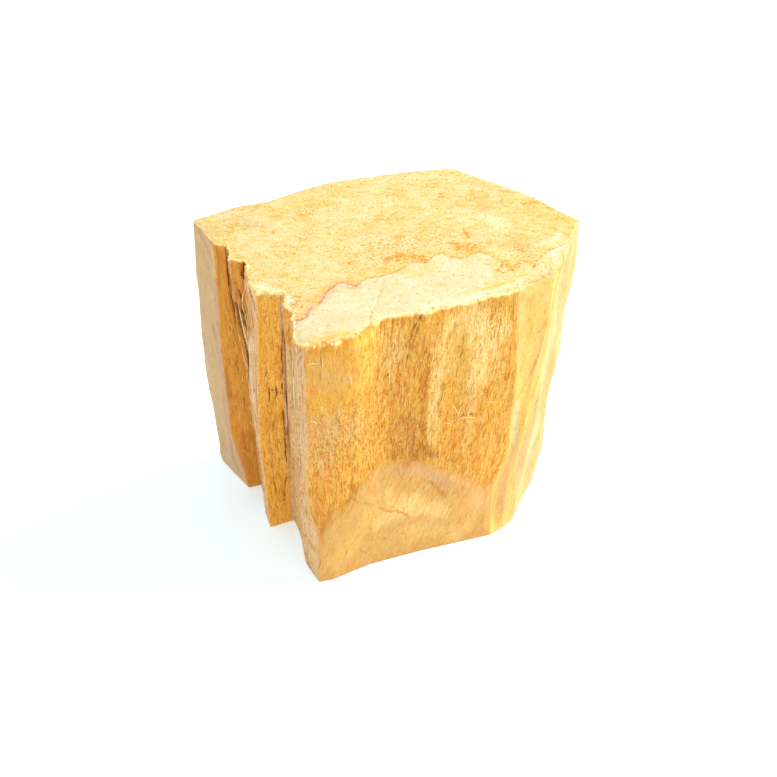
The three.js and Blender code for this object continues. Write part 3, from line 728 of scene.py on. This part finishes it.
def wall_relief(skin, wall):
    """How far torn fibres, blade cuts, the crumbled rim and swellings stand out."""
    height, grain = wall.height, skin.grain
    front, low = wall.share_of("front", "front"), wall.low_front()
    above_arch = height - height[wall.shoulder]
    torn = wall.kind("torn") * (1 - 0.85 * front * (1 - ease(above_arch, 0, 6)))
    cut = wall.kind("cut") * (1 - low) + 0.5 * low
    layers = terraces(lumps(grain, (2.8, 2.8, 36), 1, 2), LAYERS)
    fibres = lumps(grain, (1.1, 1.1, 11), 2, 2)
    patches = ease(lumps(grain, (14, 14, 22), 3, 2), -0.5, 0.5)
    grains = lumps(grain, (1.2, 1.2, 1.6), 4, 2)
    crumbled = read_off(CRUMBLED, wall.reach) * ease(height, HEIGHT - 3.6, HEIGHT - 0.5)
    relief = torn * (1.5 * layers + (0.3 + 0.6 * patches) * fibres) + 0.05 * skin.sandy * grains
    relief = relief + cut * blade_cuts(wall) * ease(height, 0, 3) * ease(HEIGHT - height, 0, 3)
    relief = relief + crumbled * 0.8 * lumps(grain, (3.0, 3.0, 2.4), 5, 2)
    for reach, middle, width, tall, amount in BULGES:
        aside, above = (wall.reach - reach) / width, (height - middle) / tall
        relief = relief + amount * np.exp(-(aside**2) - above**2)
    return relief


def open_slits(skin, wall):
    """How deep the slits are. The skin is told where they and the rusty lines lie."""
    opened = np.zeros(wall.height.shape)
    gaps = np.maximum(0, lumps(skin.grain, (1.6, 1.6, 2.4), 10, 2))
    waver = np.stack([0.3 * lumps(skin.grain, (2.4, 2.4, 6), 12, 2), opened], axis=2)
    for width, depth, broken, line in SLITS:
        ends = (np.linalg.norm(wall.spot - end, axis=2) for end in (line[0], line[-1]))
        tapered = 0.7 * width * (1 - ease(np.minimum(*ends), 0, 2))
        distance = distance_to(wall.spot + waver, line) + 0.6 * broken * gaps + tapered
        depth = depth * (1 - ease(distance, 0.3 * width, 1.3 * width))
        opened = np.maximum(opened, depth)
        skin.slit = np.minimum(skin.slit, distance - width)
    for width, line in RUSTY_LINES:
        skin.line = np.minimum(skin.line, distance_to(wall.spot, line) - width)
    return opened


def paint_rim(skin, wall, wander):
    """The cream wood of the top where it laps over the wall, brightened at the front and the left as
    painted light, and the orange in it, partly painted shade under the lip.
    """
    ragged = lumps(skin.grain, (3.2, 3.2, 2.6), 7, 2)
    past_lip = HEIGHT - wall.height - read_off(LAPS, wall.reach) * (1 + 1.3 * ragged)
    skin.end = 1 - ease(past_lip, -0.15, 0.35)
    skin.paint(skin.end, RIM)
    # Painted light: at the front and the left the lip is painted brighter than the wood, as lit as the
    # top.
    skin.paint(skin.end * wall.share_of("first column", "front", 6), LIT_LIP)
    patchy = ease(lumps(skin.grain, (2.6, 2.6, 2.2), 9, 2), -0.2, 0.4)
    # Partly orange wood, partly painted shade: orange along the lip's lower edge, where the rounded lip
    # turns down.
    orange = hump(past_lip, 0, 1.1) * patchy
    skin.paint(0.75 * orange * read_off(CRUMBLED, wall.reach), AMBER)
    for width, line in RIM_STAINS:
        skin.paint(0.9 * near_line(wall.spot, line, width, wander), AMBER)


def wall_skin(wall):
    """The wall with its fibres, cuts, slits and crumbled rim, and with its colours."""
    skin = Skin(wall.place)
    skin.grain = wall.grain()
    set_kinds(skin, wall)
    relief = wall_relief(skin, wall) * ease(wall.height, 0, 1.5) - open_slits(skin, wall)
    place = wall.place + wall.outward(wall.place) * relief[:, :, None]
    streaky = lumps(skin.grain, (0.9, 0.9, 10), 8, 2)
    wander = lumps(skin.grain, (2.6, 2.6, 7), 6, 3) + 0.8 * streaky
    skin.add_stains(wall.spot, STAINS, FIBRE_STAINS, wander)

    # The wall ends level with the sawn top.
    rim = place[-1]
    rim[:, 2] = top_height(rim[:, :2], np.zeros(len(rim)))
    place[:, :, 2] = np.clip(place[:, :, 2], 0, rim[:, 2])
    place[0, :, 2] = 0
    skin.place = place
    paint_rim(skin, wall, wander)
    return skin


def inside(points, ring):
    """Whether each point in the plane lies inside a ring of points."""
    within = np.zeros(len(points), bool)
    for (ax, ay), (bx, by) in zip(ring, np.roll(ring, -1, 0)):
        crosses = (ay > points[:, 1]) != (by > points[:, 1])
        if crosses.any():
            at = ax + (points[crosses, 1] - ay) / (by - ay) * (bx - ax)
            within[crosses] ^= points[crosses, 0] < at
    return within


def fill_ring(ring, spacing):
    """Points spread over the inside of a ring, and triangles that join them all, ring first."""
    low, high = ring.min(axis=0), ring.max(axis=0)
    rows = np.arange(low[1], high[1], spacing * math.sqrt(3) / 2)
    across = np.arange(low[0], high[0], spacing)
    grid = np.stack(np.meshgrid(across, rows), axis=2)
    grid[1::2, :, 0] += spacing / 2
    points = grid.reshape(-1, 2)
    random = np.random.default_rng(SEED)
    points = points + random.uniform(-POINT_SCATTER, POINT_SCATTER, points.shape) * spacing
    points = points[inside(points, ring)]
    points = points[distance_to_ring(points, ring) > RING_GAP * spacing]
    corners = [Vector(p) for p in np.concatenate([ring, points])]
    edge = list(range(len(ring)))
    out = delaunay_2d_cdt(corners, [], [edge], 1, 1e-6)
    source = [ids[0] for ids in out[3]]
    triangles = [[source[i] for i in face] for face in out[2]]
    return points, triangles


def top_skin(points, ring):
    """The sawn top inside its rim."""
    skin = Skin(np.column_stack([points, top_height(points, distance_to_ring(points, ring))]))
    flat = grounded(points)
    skin.grain = flat
    wander = lumps(flat, (2.6, 1.6, 9), 41, 3)
    ripple = np.stack([lumps(flat, (1.7, 1.7, 9), seed, 2) for seed in (42, 43)], axis=1)
    rippled = points + 0.2 * ripple
    from_line = distance_to(rippled, WAVY_LINE)
    side = np.sign(rippled[:, 1] - read_off(sorted(WAVY_LINE), rippled[:, 0]))
    behind = side * from_line

    # Cream in front of the wavy line, fading to the right, and a golden glow behind it.
    cream = ease(-behind, 0.1, 0.7) * (1 - 0.75 * ease(points[:, 0] + 6 * wander, 14, 36))
    skin.paint(0.95 * cream, CREAM)
    glow = ease(behind, 0, 0.4) * (1 - ease(behind + 1.2 * wander, 0.6, 4))
    skin.paint(0.40 * glow, GOLD)
    skin.paint(0.25 * glow * ease(wander, 0, 0.4), ORANGE)
    skin.add_stains(points, TOP_STAINS, TOP_GRAINS, wander)
    skin.fibrous = 1 - 0.7 * cream
    right = ease(points[:, 0] + 8 * wander, -34, -14)
    skin.sandy = (0.4 + 0.6 * right) * (1 - 0.8 * cream)
    skin.line = from_line - read_off(LINE_WIDTH, points[:, 0])
    gaps = np.maximum(0, lumps(flat, (1.2, 1.2, 9), 44, 2))
    to_crack = np.minimum(*(distance_to(rippled, line) for line in TOP_CRACKS))
    skin.slit = to_crack - CRACK_WIDTH + 0.7 * gaps
    return skin


def make_mesh(name, skins, faces):
    """A mesh of some skins together, with what their material reads on each vertex."""
    def joined(field):
        arrays = [getattr(skin, field) for skin in skins]
        return np.concatenate([a.reshape(-1, 3) if a.shape[-1] == 3 else a.ravel() for a in arrays])

    mesh = bpy.data.meshes.new(name)
    mesh.from_pydata(joined("place") * MM, [], faces)
    mesh.shade_smooth()
    mesh.set_sharp_from_angle(angle=math.radians(SHARP_ANGLE))
    for field, (kind, key) in Skin.FIELDS.items():
        values = joined(field).astype(np.float32)
        if field == "tint":
            values = np.column_stack([values, np.ones(len(values), np.float32)])
        mesh.attributes.new(field, kind, "POINT").data.foreach_set(key, values.ravel())
    return mesh


def wood_mesh(side):
    """The closed mesh of the wood, around the skin of its wall."""
    rows, columns = side.place.shape[:2]
    rim, foot_ring = side.place[-1, :, :2], side.place[0, :, :2]
    top_points, top_faces = fill_ring(rim, TOP_SPACING)
    foot_points, foot_faces = fill_ring(foot_ring, FOOT_SPACING)

    def renumbered(faces, ring_start, inner_start):
        """Faces of a filled ring, with the numbers that its points have in the whole mesh."""
        inner = inner_start - columns
        return [[i + (ring_start if i < columns else inner) for i in face] for face in faces]

    start = np.arange(rows - 1)[:, None] * columns
    first, after = start + np.arange(columns), start + (np.arange(columns) + 1) % columns
    quads = np.stack([first, after, after + columns, first + columns], axis=2)
    top = renumbered(top_faces, (rows - 1) * columns, rows * columns)
    foot = renumbered(foot_faces, 0, rows * columns + len(top_points))
    faces = quads.reshape(-1, 4).tolist() + top + [face[::-1] for face in foot]
    return make_mesh("wood", [side, top_skin(top_points, rim), Skin(grounded(foot_points))], faces)


# The material

class Shader:
    """A short way to write a node tree: each call adds a node and gives one of its outputs."""

    def __init__(self, name):
        self.material = bpy.data.materials.new(name)
        self.material.use_nodes = True
        self.tree = self.material.node_tree
        self.tree.nodes.clear()

    def add(self, kind, inputs=(), output=0, **settings):
        node = self.tree.nodes.new("ShaderNode" + kind)
        for key, value in settings.items():
            setattr(node, key, value)
        for key, value in dict(inputs).items():
            self.put(node.inputs[key], value)
        return node.outputs[output] if node.outputs else node

    def put(self, socket, value):
        if isinstance(value, bpy.types.NodeSocket):
            self.tree.links.new(value, socket)
        else:
            socket.default_value = value

    def math(self, operation, a, b, c=0.0):
        return self.add("Math", {0: a, 1: b, 2: c}, operation=operation)

    def scaled(self, vector, factors):
        return self.add("VectorMath", {0: vector, 1: factors}, operation="MULTIPLY")

    def step(self, value, start, end, low=0.0, high=1.0):
        """low before start, high after end, and smooth between."""
        inputs = {"Value": value, "From Min": start, "From Max": end, "To Min": low, "To Max": high}
        return self.add("MapRange", inputs, interpolation_type="SMOOTHSTEP")

    def mix(self, share, a, b, blend="MIX"):
        node = self.tree.nodes.new("ShaderNodeMix")
        node.data_type, node.blend_type = "RGBA", blend
        for index, value in ((0, share), (6, a), (7, b)):
            if isinstance(value, np.ndarray):
                value = (*value.tolist(), 1.0)
            self.put(node.inputs[index], value)
        return node.outputs[2]

    def attribute(self, name, output="Fac"):
        return self.add("Attribute", output=output, attribute_name=name)

    def noise(self, vector, size, detail, roughness, shift):
        """Noise from -0.5 to 0.5 whose lumps measure size in mm on each axis."""
        scaled = self.scaled(vector, tuple(1 / s for s in size))
        moved = self.add("VectorMath", {0: scaled, 1: (shift, shift, shift)}, operation="ADD")
        inputs = {"Vector": moved, "Scale": 1.0, "Detail": detail, "Roughness": roughness}
        return self.math("SUBTRACT", self.add("TexNoise", inputs), 0.5)

    def weighted(self, *pairs):
        """Sum of values times their weights."""
        total = 0.0
        for value, weight in pairs:
            total = self.math("MULTIPLY_ADD", value, weight, total)
        return total

    def ramp(self, value, stops):
        node = self.tree.nodes.new("ShaderNodeValToRGB")
        elements = node.color_ramp.elements
        while len(elements) < len(stops):
            elements.new(0.5)
        for element, (position, colour) in zip(elements, stops):
            element.position, element.color = position, (*colour, 1.0)
        self.put(node.inputs[0], self.math("ADD", value, 0.5))
        return node.outputs[0]

    def spots(self, noise, start, end, share, strength, colour, base):
        """Lays a colour over base where noise is high, as far as share says."""
        share = self.math("MULTIPLY", share, strength)
        shown = self.math("MULTIPLY", self.step(noise, start, end), share)
        return self.mix(shown, base, colour)


def wall_colour(shader, grain, tint, fibrous, sandy, stain):
    """Bands, streaks and short fibres along the grain, and sandy specks."""
    bands = shader.noise(grain, (3.2, 3.2, 40), 2, 0.5, 3)
    streaks = shader.noise(grain, (0.85, 0.85, 12), 3, 0.6, 7)
    fibres = shader.noise(grain, (0.38, 0.38, 3.4), 2, 0.55, 9)
    mottle = shader.noise(grain, (6, 6, 9), 3, 0.6, 11)
    sand = shader.noise(grain, (0.52, 0.52, 0.7), 2, 0.6, 13)
    along = shader.weighted((bands, 0.25), (streaks, 0.4), (fibres, 2.2), (sand, 0.8))
    gritty = shader.math("MULTIPLY", sandy, 1.2)
    value = shader.weighted((along, fibrous), (mottle, 0.35), (sand, gritty))
    colour = shader.mix(1.0, tint, shader.ramp(value, WALL_RAMP), "MULTIPLY")
    dark = shader.noise(grain, (0.42, 0.42, 2.4), 1, 0.4, 19)
    colour = shader.spots(dark, 0.11, 0.19, fibrous, 0.5, DARK_FIBRE, colour)
    pale = shader.noise(grain, (0.42, 0.42, 2.2), 1, 0.4, 27)
    colour = shader.spots(pale, 0.13, 0.20, fibrous, 0.5, PALE_FIBRE, colour)
    grit = shader.noise(grain, (0.5, 0.5, 0.8), 1, 0.4, 33)
    colour = shader.spots(grit, 0.12, 0.20, sandy, 0.4, GRIT, colour)
    stained = shader.weighted((stain, 1.0), (dark, 2.2), (fibres, 1.6))
    return shader.spots(stained, 0.35, 0.95, 1.0, 0.8, FIBRE_STAIN, colour)


def end_colour(shader, place, tint, fibrous, sandy, stain):
    """Cream end grain with golden mottling, drawn out by the saw, and specks."""
    drawn = shader.noise(place, (3.0, 1.3, 9), 5, 0.7, 2)
    blotches = shader.noise(place, (9, 6, 9), 4, 0.6, 5)
    crumbs = shader.noise(place, (0.62, 0.72, 9), 3, 0.7, 8)
    value = shader.weighted((drawn, 1.35), (blotches, 0.85), (crumbs, 1.5))
    value = shader.math("MULTIPLY", value, shader.math("MULTIPLY_ADD", fibrous, 0.8, 0.2))
    colour = shader.mix(1.0, tint, shader.ramp(value, END_RAMP), "MULTIPLY")
    white = shader.noise(place, (2.2, 1.4, 9), 3, 0.65, 37)
    colour = shader.spots(white, 0.10, 0.26, 1.0, 0.5, WHITE, colour)
    specks = shader.noise(place, (0.6, 0.7, 9), 1, 0.5, 23)
    colour = shader.spots(specks, 0.12, 0.22, sandy, 0.6, SPECK, colour)
    pores = shader.noise(place, (0.45, 0.5, 9), 0, 0.5, 29)
    colour = shader.spots(pores, 0.28, 0.33, sandy, 0.6, PORE, colour)
    stained = shader.weighted((stain, 1.0), (specks, 3.0), (crumbs, 2.0))
    return shader.spots(stained, 0.35, 0.95, 1.0, 0.85, GRAIN_STAIN, colour)


def with_marks(shader, place, end, colour):
    """Draws the dark slits and cracks and the rusty lines over a colour."""
    wander = shader.noise(place, (0.5, 0.5, 1.6), 3, 0.65, 31)
    slit = shader.math("MULTIPLY_ADD", wander, 0.7, shader.attribute("slit"))
    cut = shader.step(slit, -0.14, 0.10, 0.88, 0.0)
    colour = shader.mix(cut, colour, shader.mix(end, SLIT, CRACK))
    line = shader.math("MULTIPLY_ADD", wander, 1.5, shader.attribute("line"))
    drawn = shader.step(line, -0.16, 0.12, 0.85, 0.0)
    speckled = shader.step(shader.noise(place, (0.7, 0.6, 9), 2, 0.6, 47), -0.12, 0.10, 1.0, 0.6)
    drawn = shader.math("MULTIPLY", drawn, speckled)
    return shader.mix(drawn, colour, shader.mix(end, RUST, FUNGUS))


def wood_relief(shader, grain, place, end, fibrous, sandy):
    """The finest relief: fibres and sandy grain on the walls, and crumbs on the ends."""
    fibre = shader.noise(grain, (0.34, 0.34, 4), 3, 0.6, 41)
    sand = shader.noise(grain, (0.5, 0.5, 0.6), 2, 0.6, 13)
    crumb = shader.math("MULTIPLY", shader.noise(place, (0.7, 0.45, 9), 3, 0.65, 43), 0.4)
    return shader.mix(end, shader.weighted((fibre, fibrous), (sand, sandy)), crumb)


def wood_material():
    shader = Shader("palo_santo_wood")
    grain = shader.attribute("grain", "Vector")
    tint = shader.attribute("tint", "Color")
    end, fibrous, sandy, stain = (
        shader.attribute(name) for name in ("end", "fibrous", "sandy", "stain"))
    place = shader.scaled(shader.add("TexCoord", output="Object"), (1 / MM,) * 3)
    walls = wall_colour(shader, grain, tint, fibrous, sandy, stain)
    ends = end_colour(shader, place, tint, fibrous, sandy, stain)
    colour = with_marks(shader, place, end, shader.mix(end, walls, ends))
    relief = wood_relief(shader, grain, place, end, fibrous, sandy)
    bump = shader.add("Bump", {"Strength": 0.45, "Distance": 0.3 * MM, "Height": relief})
    inputs = {"Base Color": colour, "Roughness": 0.75, "Normal": bump, "Specular IOR Level": 0.25}
    surface = shader.add("BsdfPrincipled", inputs)
    shader.add("OutputMaterial", {"Surface": surface})
    return shader.material


# Loose bits

# Slivers split from the wall: half width, how far the tip stands off, colour, and
# places from root to tip.
SLIVERS = [
    (0.26, 0.5, FRESH, [(-53.7, 87.5), (-53.6, 80), (-53.2, 73)]),
    (0.28, 0.4, FRESH, [(-45.5, 77.6), (-44.9, 70), (-43.8, 62.5)]),
    (0.22, 0.6, FRESH, [(-44.8, 77.8), (-44.2, 74.4), (-43.6, 70.4)]),
    (0.24, 0.4, PALE, [(-44.2, 82.8), (-44.8, 78.4), (-44.5, 76.3)]),
    (0.22, 0.3, PALE, [(-43.6, 83.2), (-43.9, 81.2), (-43.8, 79.6)]),
    (0.26, 0.4, TAN, [(-40.2, 88), (-39.8, 84), (-39.2, 78)]),
    (0.26, 0.4, FRESH, [(-42.2, 72), (-41.4, 58), (-40.6, 46)]),
    (0.24, 0.4, GOLD, [(-46.2, 70), (-45.6, 60), (-44.6, 50)]),
    (0.42, 0.5, FRESH, [(-44.2, 74), (-43.6, 64), (-42.9, 54)]),
    (0.40, 0.5, MAUVE, [(-43.2, 73), (-42.7, 60), (-42.2, 46)]),
    (0.34, 0.5, PALE, [(-43.9, 50), (-43, 42), (-42.2, 33)]),
    (0.22, 0.4, AMBER, [(-43.6, 72), (-43.1, 60), (-42.4, 50)]),
    (0.22, 0.3, TAN, [(-36.2, 88), (-35.6, 80), (-35.2, 74)]),
    (0.20, 0.3, AMBER, [(-34.6, 86), (-34.2, 81), (-33.9, 77)]),
    (0.28, 0.5, FRESH, [(-39.4, 72), (-38.4, 58), (-37.6, 48)]),
    (0.24, 0.4, TAN, [(-38.2, 88), (-37.6, 78), (-37.2, 70)]),
    (0.26, 0.4, MAUVE, [(-39.6, 45), (-38.5, 31), (-37.3, 18)]),
    (0.26, 0.4, FRESH, [(-36.9, 62), (-36.4, 48), (-36.2, 34)]),
    (0.24, 0.3, FRESH, [(-36.6, 84), (-36, 74), (-35.4, 64)]),
    (0.24, 0.3, TAN, [(-33.8, 70), (-33.4, 58), (-33, 44)]),
    (0.18, 0.2, FRESH, [(-23.6, 56.2), (-23.6, 47.3), (-24, 40.6)]),
    (0.20, 0.3, TAN, [(-21.6, 70), (-21, 52), (-20.4, 38)]),
    (0.20, 0.3, FRESH, [(-12.4, 78), (-12, 68), (-11.6, 58)]),
]
# Curls torn up across the grain: places, half width, colour.
CURLS = [
    ([(0.3, 85.6), (1.6, 86.6), (3.4, 86.3), (5.4, 87)], 0.20, PALE),
    ([(-0.4, 65.4), (0.8, 66.6), (2.2, 66.2), (3.3, 64.8)], 0.18, PALE),
    ([(42.2, 57.4), (43.2, 55.4), (44.2, 52.8)], 0.18, PALE),
    ([(45.2, 57), (44.4, 54.8), (44.2, 52.6)], 0.16, PALE),
    ([(44, 51.4), (46.4, 51.9), (48.8, 51.2)], 0.24, PALE),
    ([(39.8, 51), (41.6, 50.2), (43, 50.8)], 0.2, PALE),
    ([(52.2, 55.6), (54, 54.6), (56.2, 55.2)], 0.14, PALE),
]
# Pale grains that catch the light: reach, height.
GLINTS = [
    (44.9, 76.5), (54, 68.2), (47.8, 63.8), (50.4, 59.7), (57.1, 50.4), (50.9, 46.1),
    (40.4, 70.7), (34.6, 64.8), (56.2, 66), (54, 82), (53.1, 77.8), (51.3, 72.2),
    (-29.7, 53), (-24.4, 50.5), (-28, 44.8), (-13.4, 54), (-43.9, 41.2), (-43.9, 33),
]
GLINT_SIZE = 0.17
SECTION = ((1, 0), (0.25, 1), (-1, 0), (0, -1))  # of a strand: across it and off the wood
FIBRE_COUNT = 220
FIBRE_COLOURS = (FRESH, PALE, GOLD, BROWN, GOLD, ORANGE)
CRUMB_COUNT = 60
# Some crumbs take the lip's brightened colour, which is painted light.
CRUMB_COLOURS = (LIT_LIP, LIT_LIP, PALE, GOLD, AMBER)
OCTAHEDRON = ((1, 0, 0), (0, 1, 0), (-1, 0, 0), (0, -1, 0), (0, 0, 1), (0, 0, -1))
OCTAHEDRON_FACES = (
    (0, 1, 4), (1, 2, 4), (2, 3, 4), (3, 0, 4), (1, 0, 5), (2, 1, 5), (3, 2, 5), (0, 3, 5),
)
ROUNDING = 1.3  # how far out the middles of its edges are pushed


def rounded_octahedron():
    """Corners and faces of an octahedron whose faces are split in four and pushed out."""
    corners = [np.array(corner, float) for corner in OCTAHEDRON]
    middles, faces = {}, []

    def middle(a, b):
        key = (min(a, b), max(a, b))
        if key not in middles:
            middles[key] = len(corners)
            corners.append((corners[a] + corners[b]) / 2 * ROUNDING)
        return middles[key]

    for a, b, c in OCTAHEDRON_FACES:
        ab, bc, ca = middle(a, b), middle(b, c), middle(c, a)
        faces += [[a, ab, ca], [ab, b, bc], [ca, bc, c], [ab, bc, ca]]
    return np.array(corners), faces


class Bits:
    """Small closed shapes on the wood, gathered into one mesh."""

    def __init__(self, wall, skin):
        self.wall, self.skin = wall, skin
        self.out = wall.outward(skin.place)
        self.places, self.tints, self.faces, self.count = [], [], [], 0
        self.random = np.random.default_rng(SEED + 1)

    def ground(self, reach, height):
        """The nearest place on the finished wall, and the direction out of it."""
        column = np.abs(self.wall.reach - reach).argmin()
        row = np.abs(self.skin.place[:, column, 2] - height).argmin()
        return self.skin.place[row, column], self.out[row, column]

    def add(self, points, faces, tint):
        self.places.append(np.array(points))
        self.tints.append(np.tile(tint, (len(points), 1)))
        self.faces += [[i + self.count for i in face] for face in faces]
        self.count += len(points)

    def strand(self, line, width, thickness, lift, tint, steps):
        """A tapered strand over places on the wall. lift is how far each of its ends stands off."""
        at = np.linspace(0, len(line) - 1, steps)
        reaches, heights = (np.interp(at, range(len(line)), values) for values in zip(*line))
        middles, outs = zip(*(self.ground(*spot) for spot in zip(reaches, heights)))
        middles = soften(np.array(middles), 0, 1)
        last = steps - 1
        points, faces = [], []
        for k, out in enumerate(outs):
            share = k / last
            full = max(math.sin(math.pi * min(max(share, 0.04), 0.96)), 0.05) ** 0.5
            across = np.cross(middles[min(k + 1, last)] - middles[max(k - 1, 0)], out)
            across = across / max(np.linalg.norm(across), 1e-6)
            centre = middles[k] + out * (lift[0] * (1 - share) ** 2 + lift[1] * share**2)
            for turn, high in SECTION:
                points.append(centre + across * width * full * turn + out * thickness * full * high)
        for start in range(0, 4 * last, 4):
            for a, b in ((0, 1), (1, 2), (2, 3), (3, 0)):
                faces.append([start + a, start + b, start + b + 4, start + a + 4])
        faces += [[3, 2, 1, 0], [4 * last + i for i in range(4)]]
        self.add(points, faces, tint)

    def crumb(self, place, radius, tint):
        """An irregular rounded grain."""
        corners, faces = rounded_octahedron()
        shape = corners * self.random.uniform(0.85, 1.15, (len(corners), 1))
        shape = shape * self.random.uniform(0.7, 1.3, 3) * radius
        self.add(place + shape, faces, tint)


def add_fibres(bits):
    """Short fibres that stand up a little all over the split walls."""
    random = bits.random
    for _ in range(FIBRE_COUNT):
        reach = random.uniform(-58, 59)
        height = random.uniform(4, 88)
        length = random.uniform(1.6, 5.0)
        shift = random.normal(0, 0.25) + (LEAN * length if reach > 15 else 0)
        tint = FIBRE_COLOURS[random.integers(len(FIBRE_COLOURS))]
        lift = random.uniform(0.05, 0.35)
        low_down = reach > 2 and height < 40
        if not low_down:
            line = [(reach, height), (reach + shift, height + length)]
            ends = (0.0, lift) if random.random() < 0.5 else (lift, 0.0)
            bits.strand(line, random.uniform(0.07, 0.13), 0.08, ends, tint, 5)


def add_rim_crumbs(bits):
    """Crumbs along the rim of the sawn top, where it is crumbled."""
    random = bits.random
    for _ in range(CRUMB_COUNT):
        reach = random.uniform(-58, 62)
        crumbled = read_off(CRUMBLED, reach)
        if random.random() < crumbled:
            low = 0.2 + 0.5 * read_off(LAPS, reach)
            spot, out = bits.ground(reach, HEIGHT - random.uniform(0, low))
            radius = random.uniform(0.35, 0.8) * (0.6 + 0.4 * crumbled)
            tint = CRUMB_COLOURS[random.integers(len(CRUMB_COLOURS))]
            bits.crumb(spot - out * 0.5 * radius, radius, tint)


def bits_mesh(wall, skin):
    bits = Bits(wall, skin)
    for width, off, tint, line in SLIVERS:
        bits.strand(line, width, 0.18, (0.05, off), tint, 12)
    for line, width, tint in CURLS:
        bits.strand(line, width, 0.14, (0.1, 0.1), tint, 9)
    add_fibres(bits)
    add_rim_crumbs(bits)
    for reach, height in GLINTS:
        place, out = bits.ground(reach, height)
        bits.crumb(place + out * 0.1, GLINT_SIZE, GLINT)
    loose = Skin(np.concatenate(bits.places), np.concatenate(bits.tints))
    loose.grain = loose.place + (0, 0, 30)
    loose.end = np.zeros(len(loose.place))
    loose.fibrous = np.full(len(loose.place), 0.5)
    loose.sandy = np.full(len(loose.place), 0.2)
    return make_mesh("loose_bits", [loose], bits.faces)


def add_object(name, data):
    thing = bpy.data.objects.new(name, data)
    bpy.context.scene.collection.objects.link(thing)
    return thing


def add_piece(name, mesh, material):
    piece = add_object(name, mesh)
    mesh.materials.append(material)
    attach(piece, "root")
    return piece


# The stage

CAMERA_PLACE = (1.407 * MM, -206.68 * MM, 248.65 * MM)
CAMERA_PITCH = 45.0  # degrees below the horizon
SENSOR_WIDTH = 36
FOCAL_LENGTH = SENSOR_WIDTH * 1000 / 777  # for a focal length of 1000 pixels in a view of 777
FLOOR_REACH = 4.0  # metres from the middle to the sides
FLOOR_DROP = 0.0002  # below the foot, so that the two faces don't meet
LAMP_PLACE = (0.85, 0.25, 0.75)


def add_camera():
    camera = add_object("camera", bpy.data.cameras.new("camera"))
    camera.location = CAMERA_PLACE
    camera.rotation_euler = (math.radians(90 - CAMERA_PITCH), 0, 0)
    camera.data.lens = FOCAL_LENGTH
    camera.data.sensor_width = SENSOR_WIDTH
    camera.data.clip_start = 0.01
    bpy.context.scene.camera = camera


def add_lamp():
    lamp = bpy.data.lights.new("key", "AREA")
    lamp.shape = "DISK"
    lamp.size = 0.5
    lamp.energy = 16
    lamp.color = (1.0, 0.97, 0.92)
    light = add_object("key", lamp)
    light.location = LAMP_PLACE
    light.rotation_euler = (-Vector(LAMP_PLACE)).to_track_quat("-Z", "Y").to_euler()


def add_floor():
    mesh = bpy.data.meshes.new("floor")
    low, high = -FLOOR_REACH, FLOOR_REACH
    corners = [(low, low, 0), (high, low, 0), (high, high, 0), (low, high, 0)]
    mesh.from_pydata(corners, [], [(0, 1, 2, 3)])
    floor = add_object("floor", mesh)
    floor.location.z = -FLOOR_DROP
    shader = Shader("floor")
    inputs = {
        "Base Color": (0.88, 0.93, 0.94, 1), "Roughness": 0.9,
        "Emission Color": (0.64, 0.9, 1, 1), "Emission Strength": 0.4,
    }
    shader.add("OutputMaterial", {"Surface": shader.add("BsdfPrincipled", inputs)})
    mesh.materials.append(shader.material)


def add_sky():
    world = bpy.data.worlds.new("studio")
    world.use_nodes = True
    background = world.node_tree.nodes["Background"]
    background.inputs["Color"].default_value = (0.95, 0.99, 1.0, 1)
    background.inputs["Strength"].default_value = 0.88
    bpy.context.scene.world = world


add_camera()
wall = Wall()
side = wall_skin(wall)
material = wood_material()
wood = add_piece("wood", wood_mesh(side), material)
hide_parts(NODE)
add_piece("loose_bits", bits_mesh(wall, side), material)
add_floor()
add_sky()
add_lamp()
bpy.context.scene.view_settings.view_transform = "Standard"
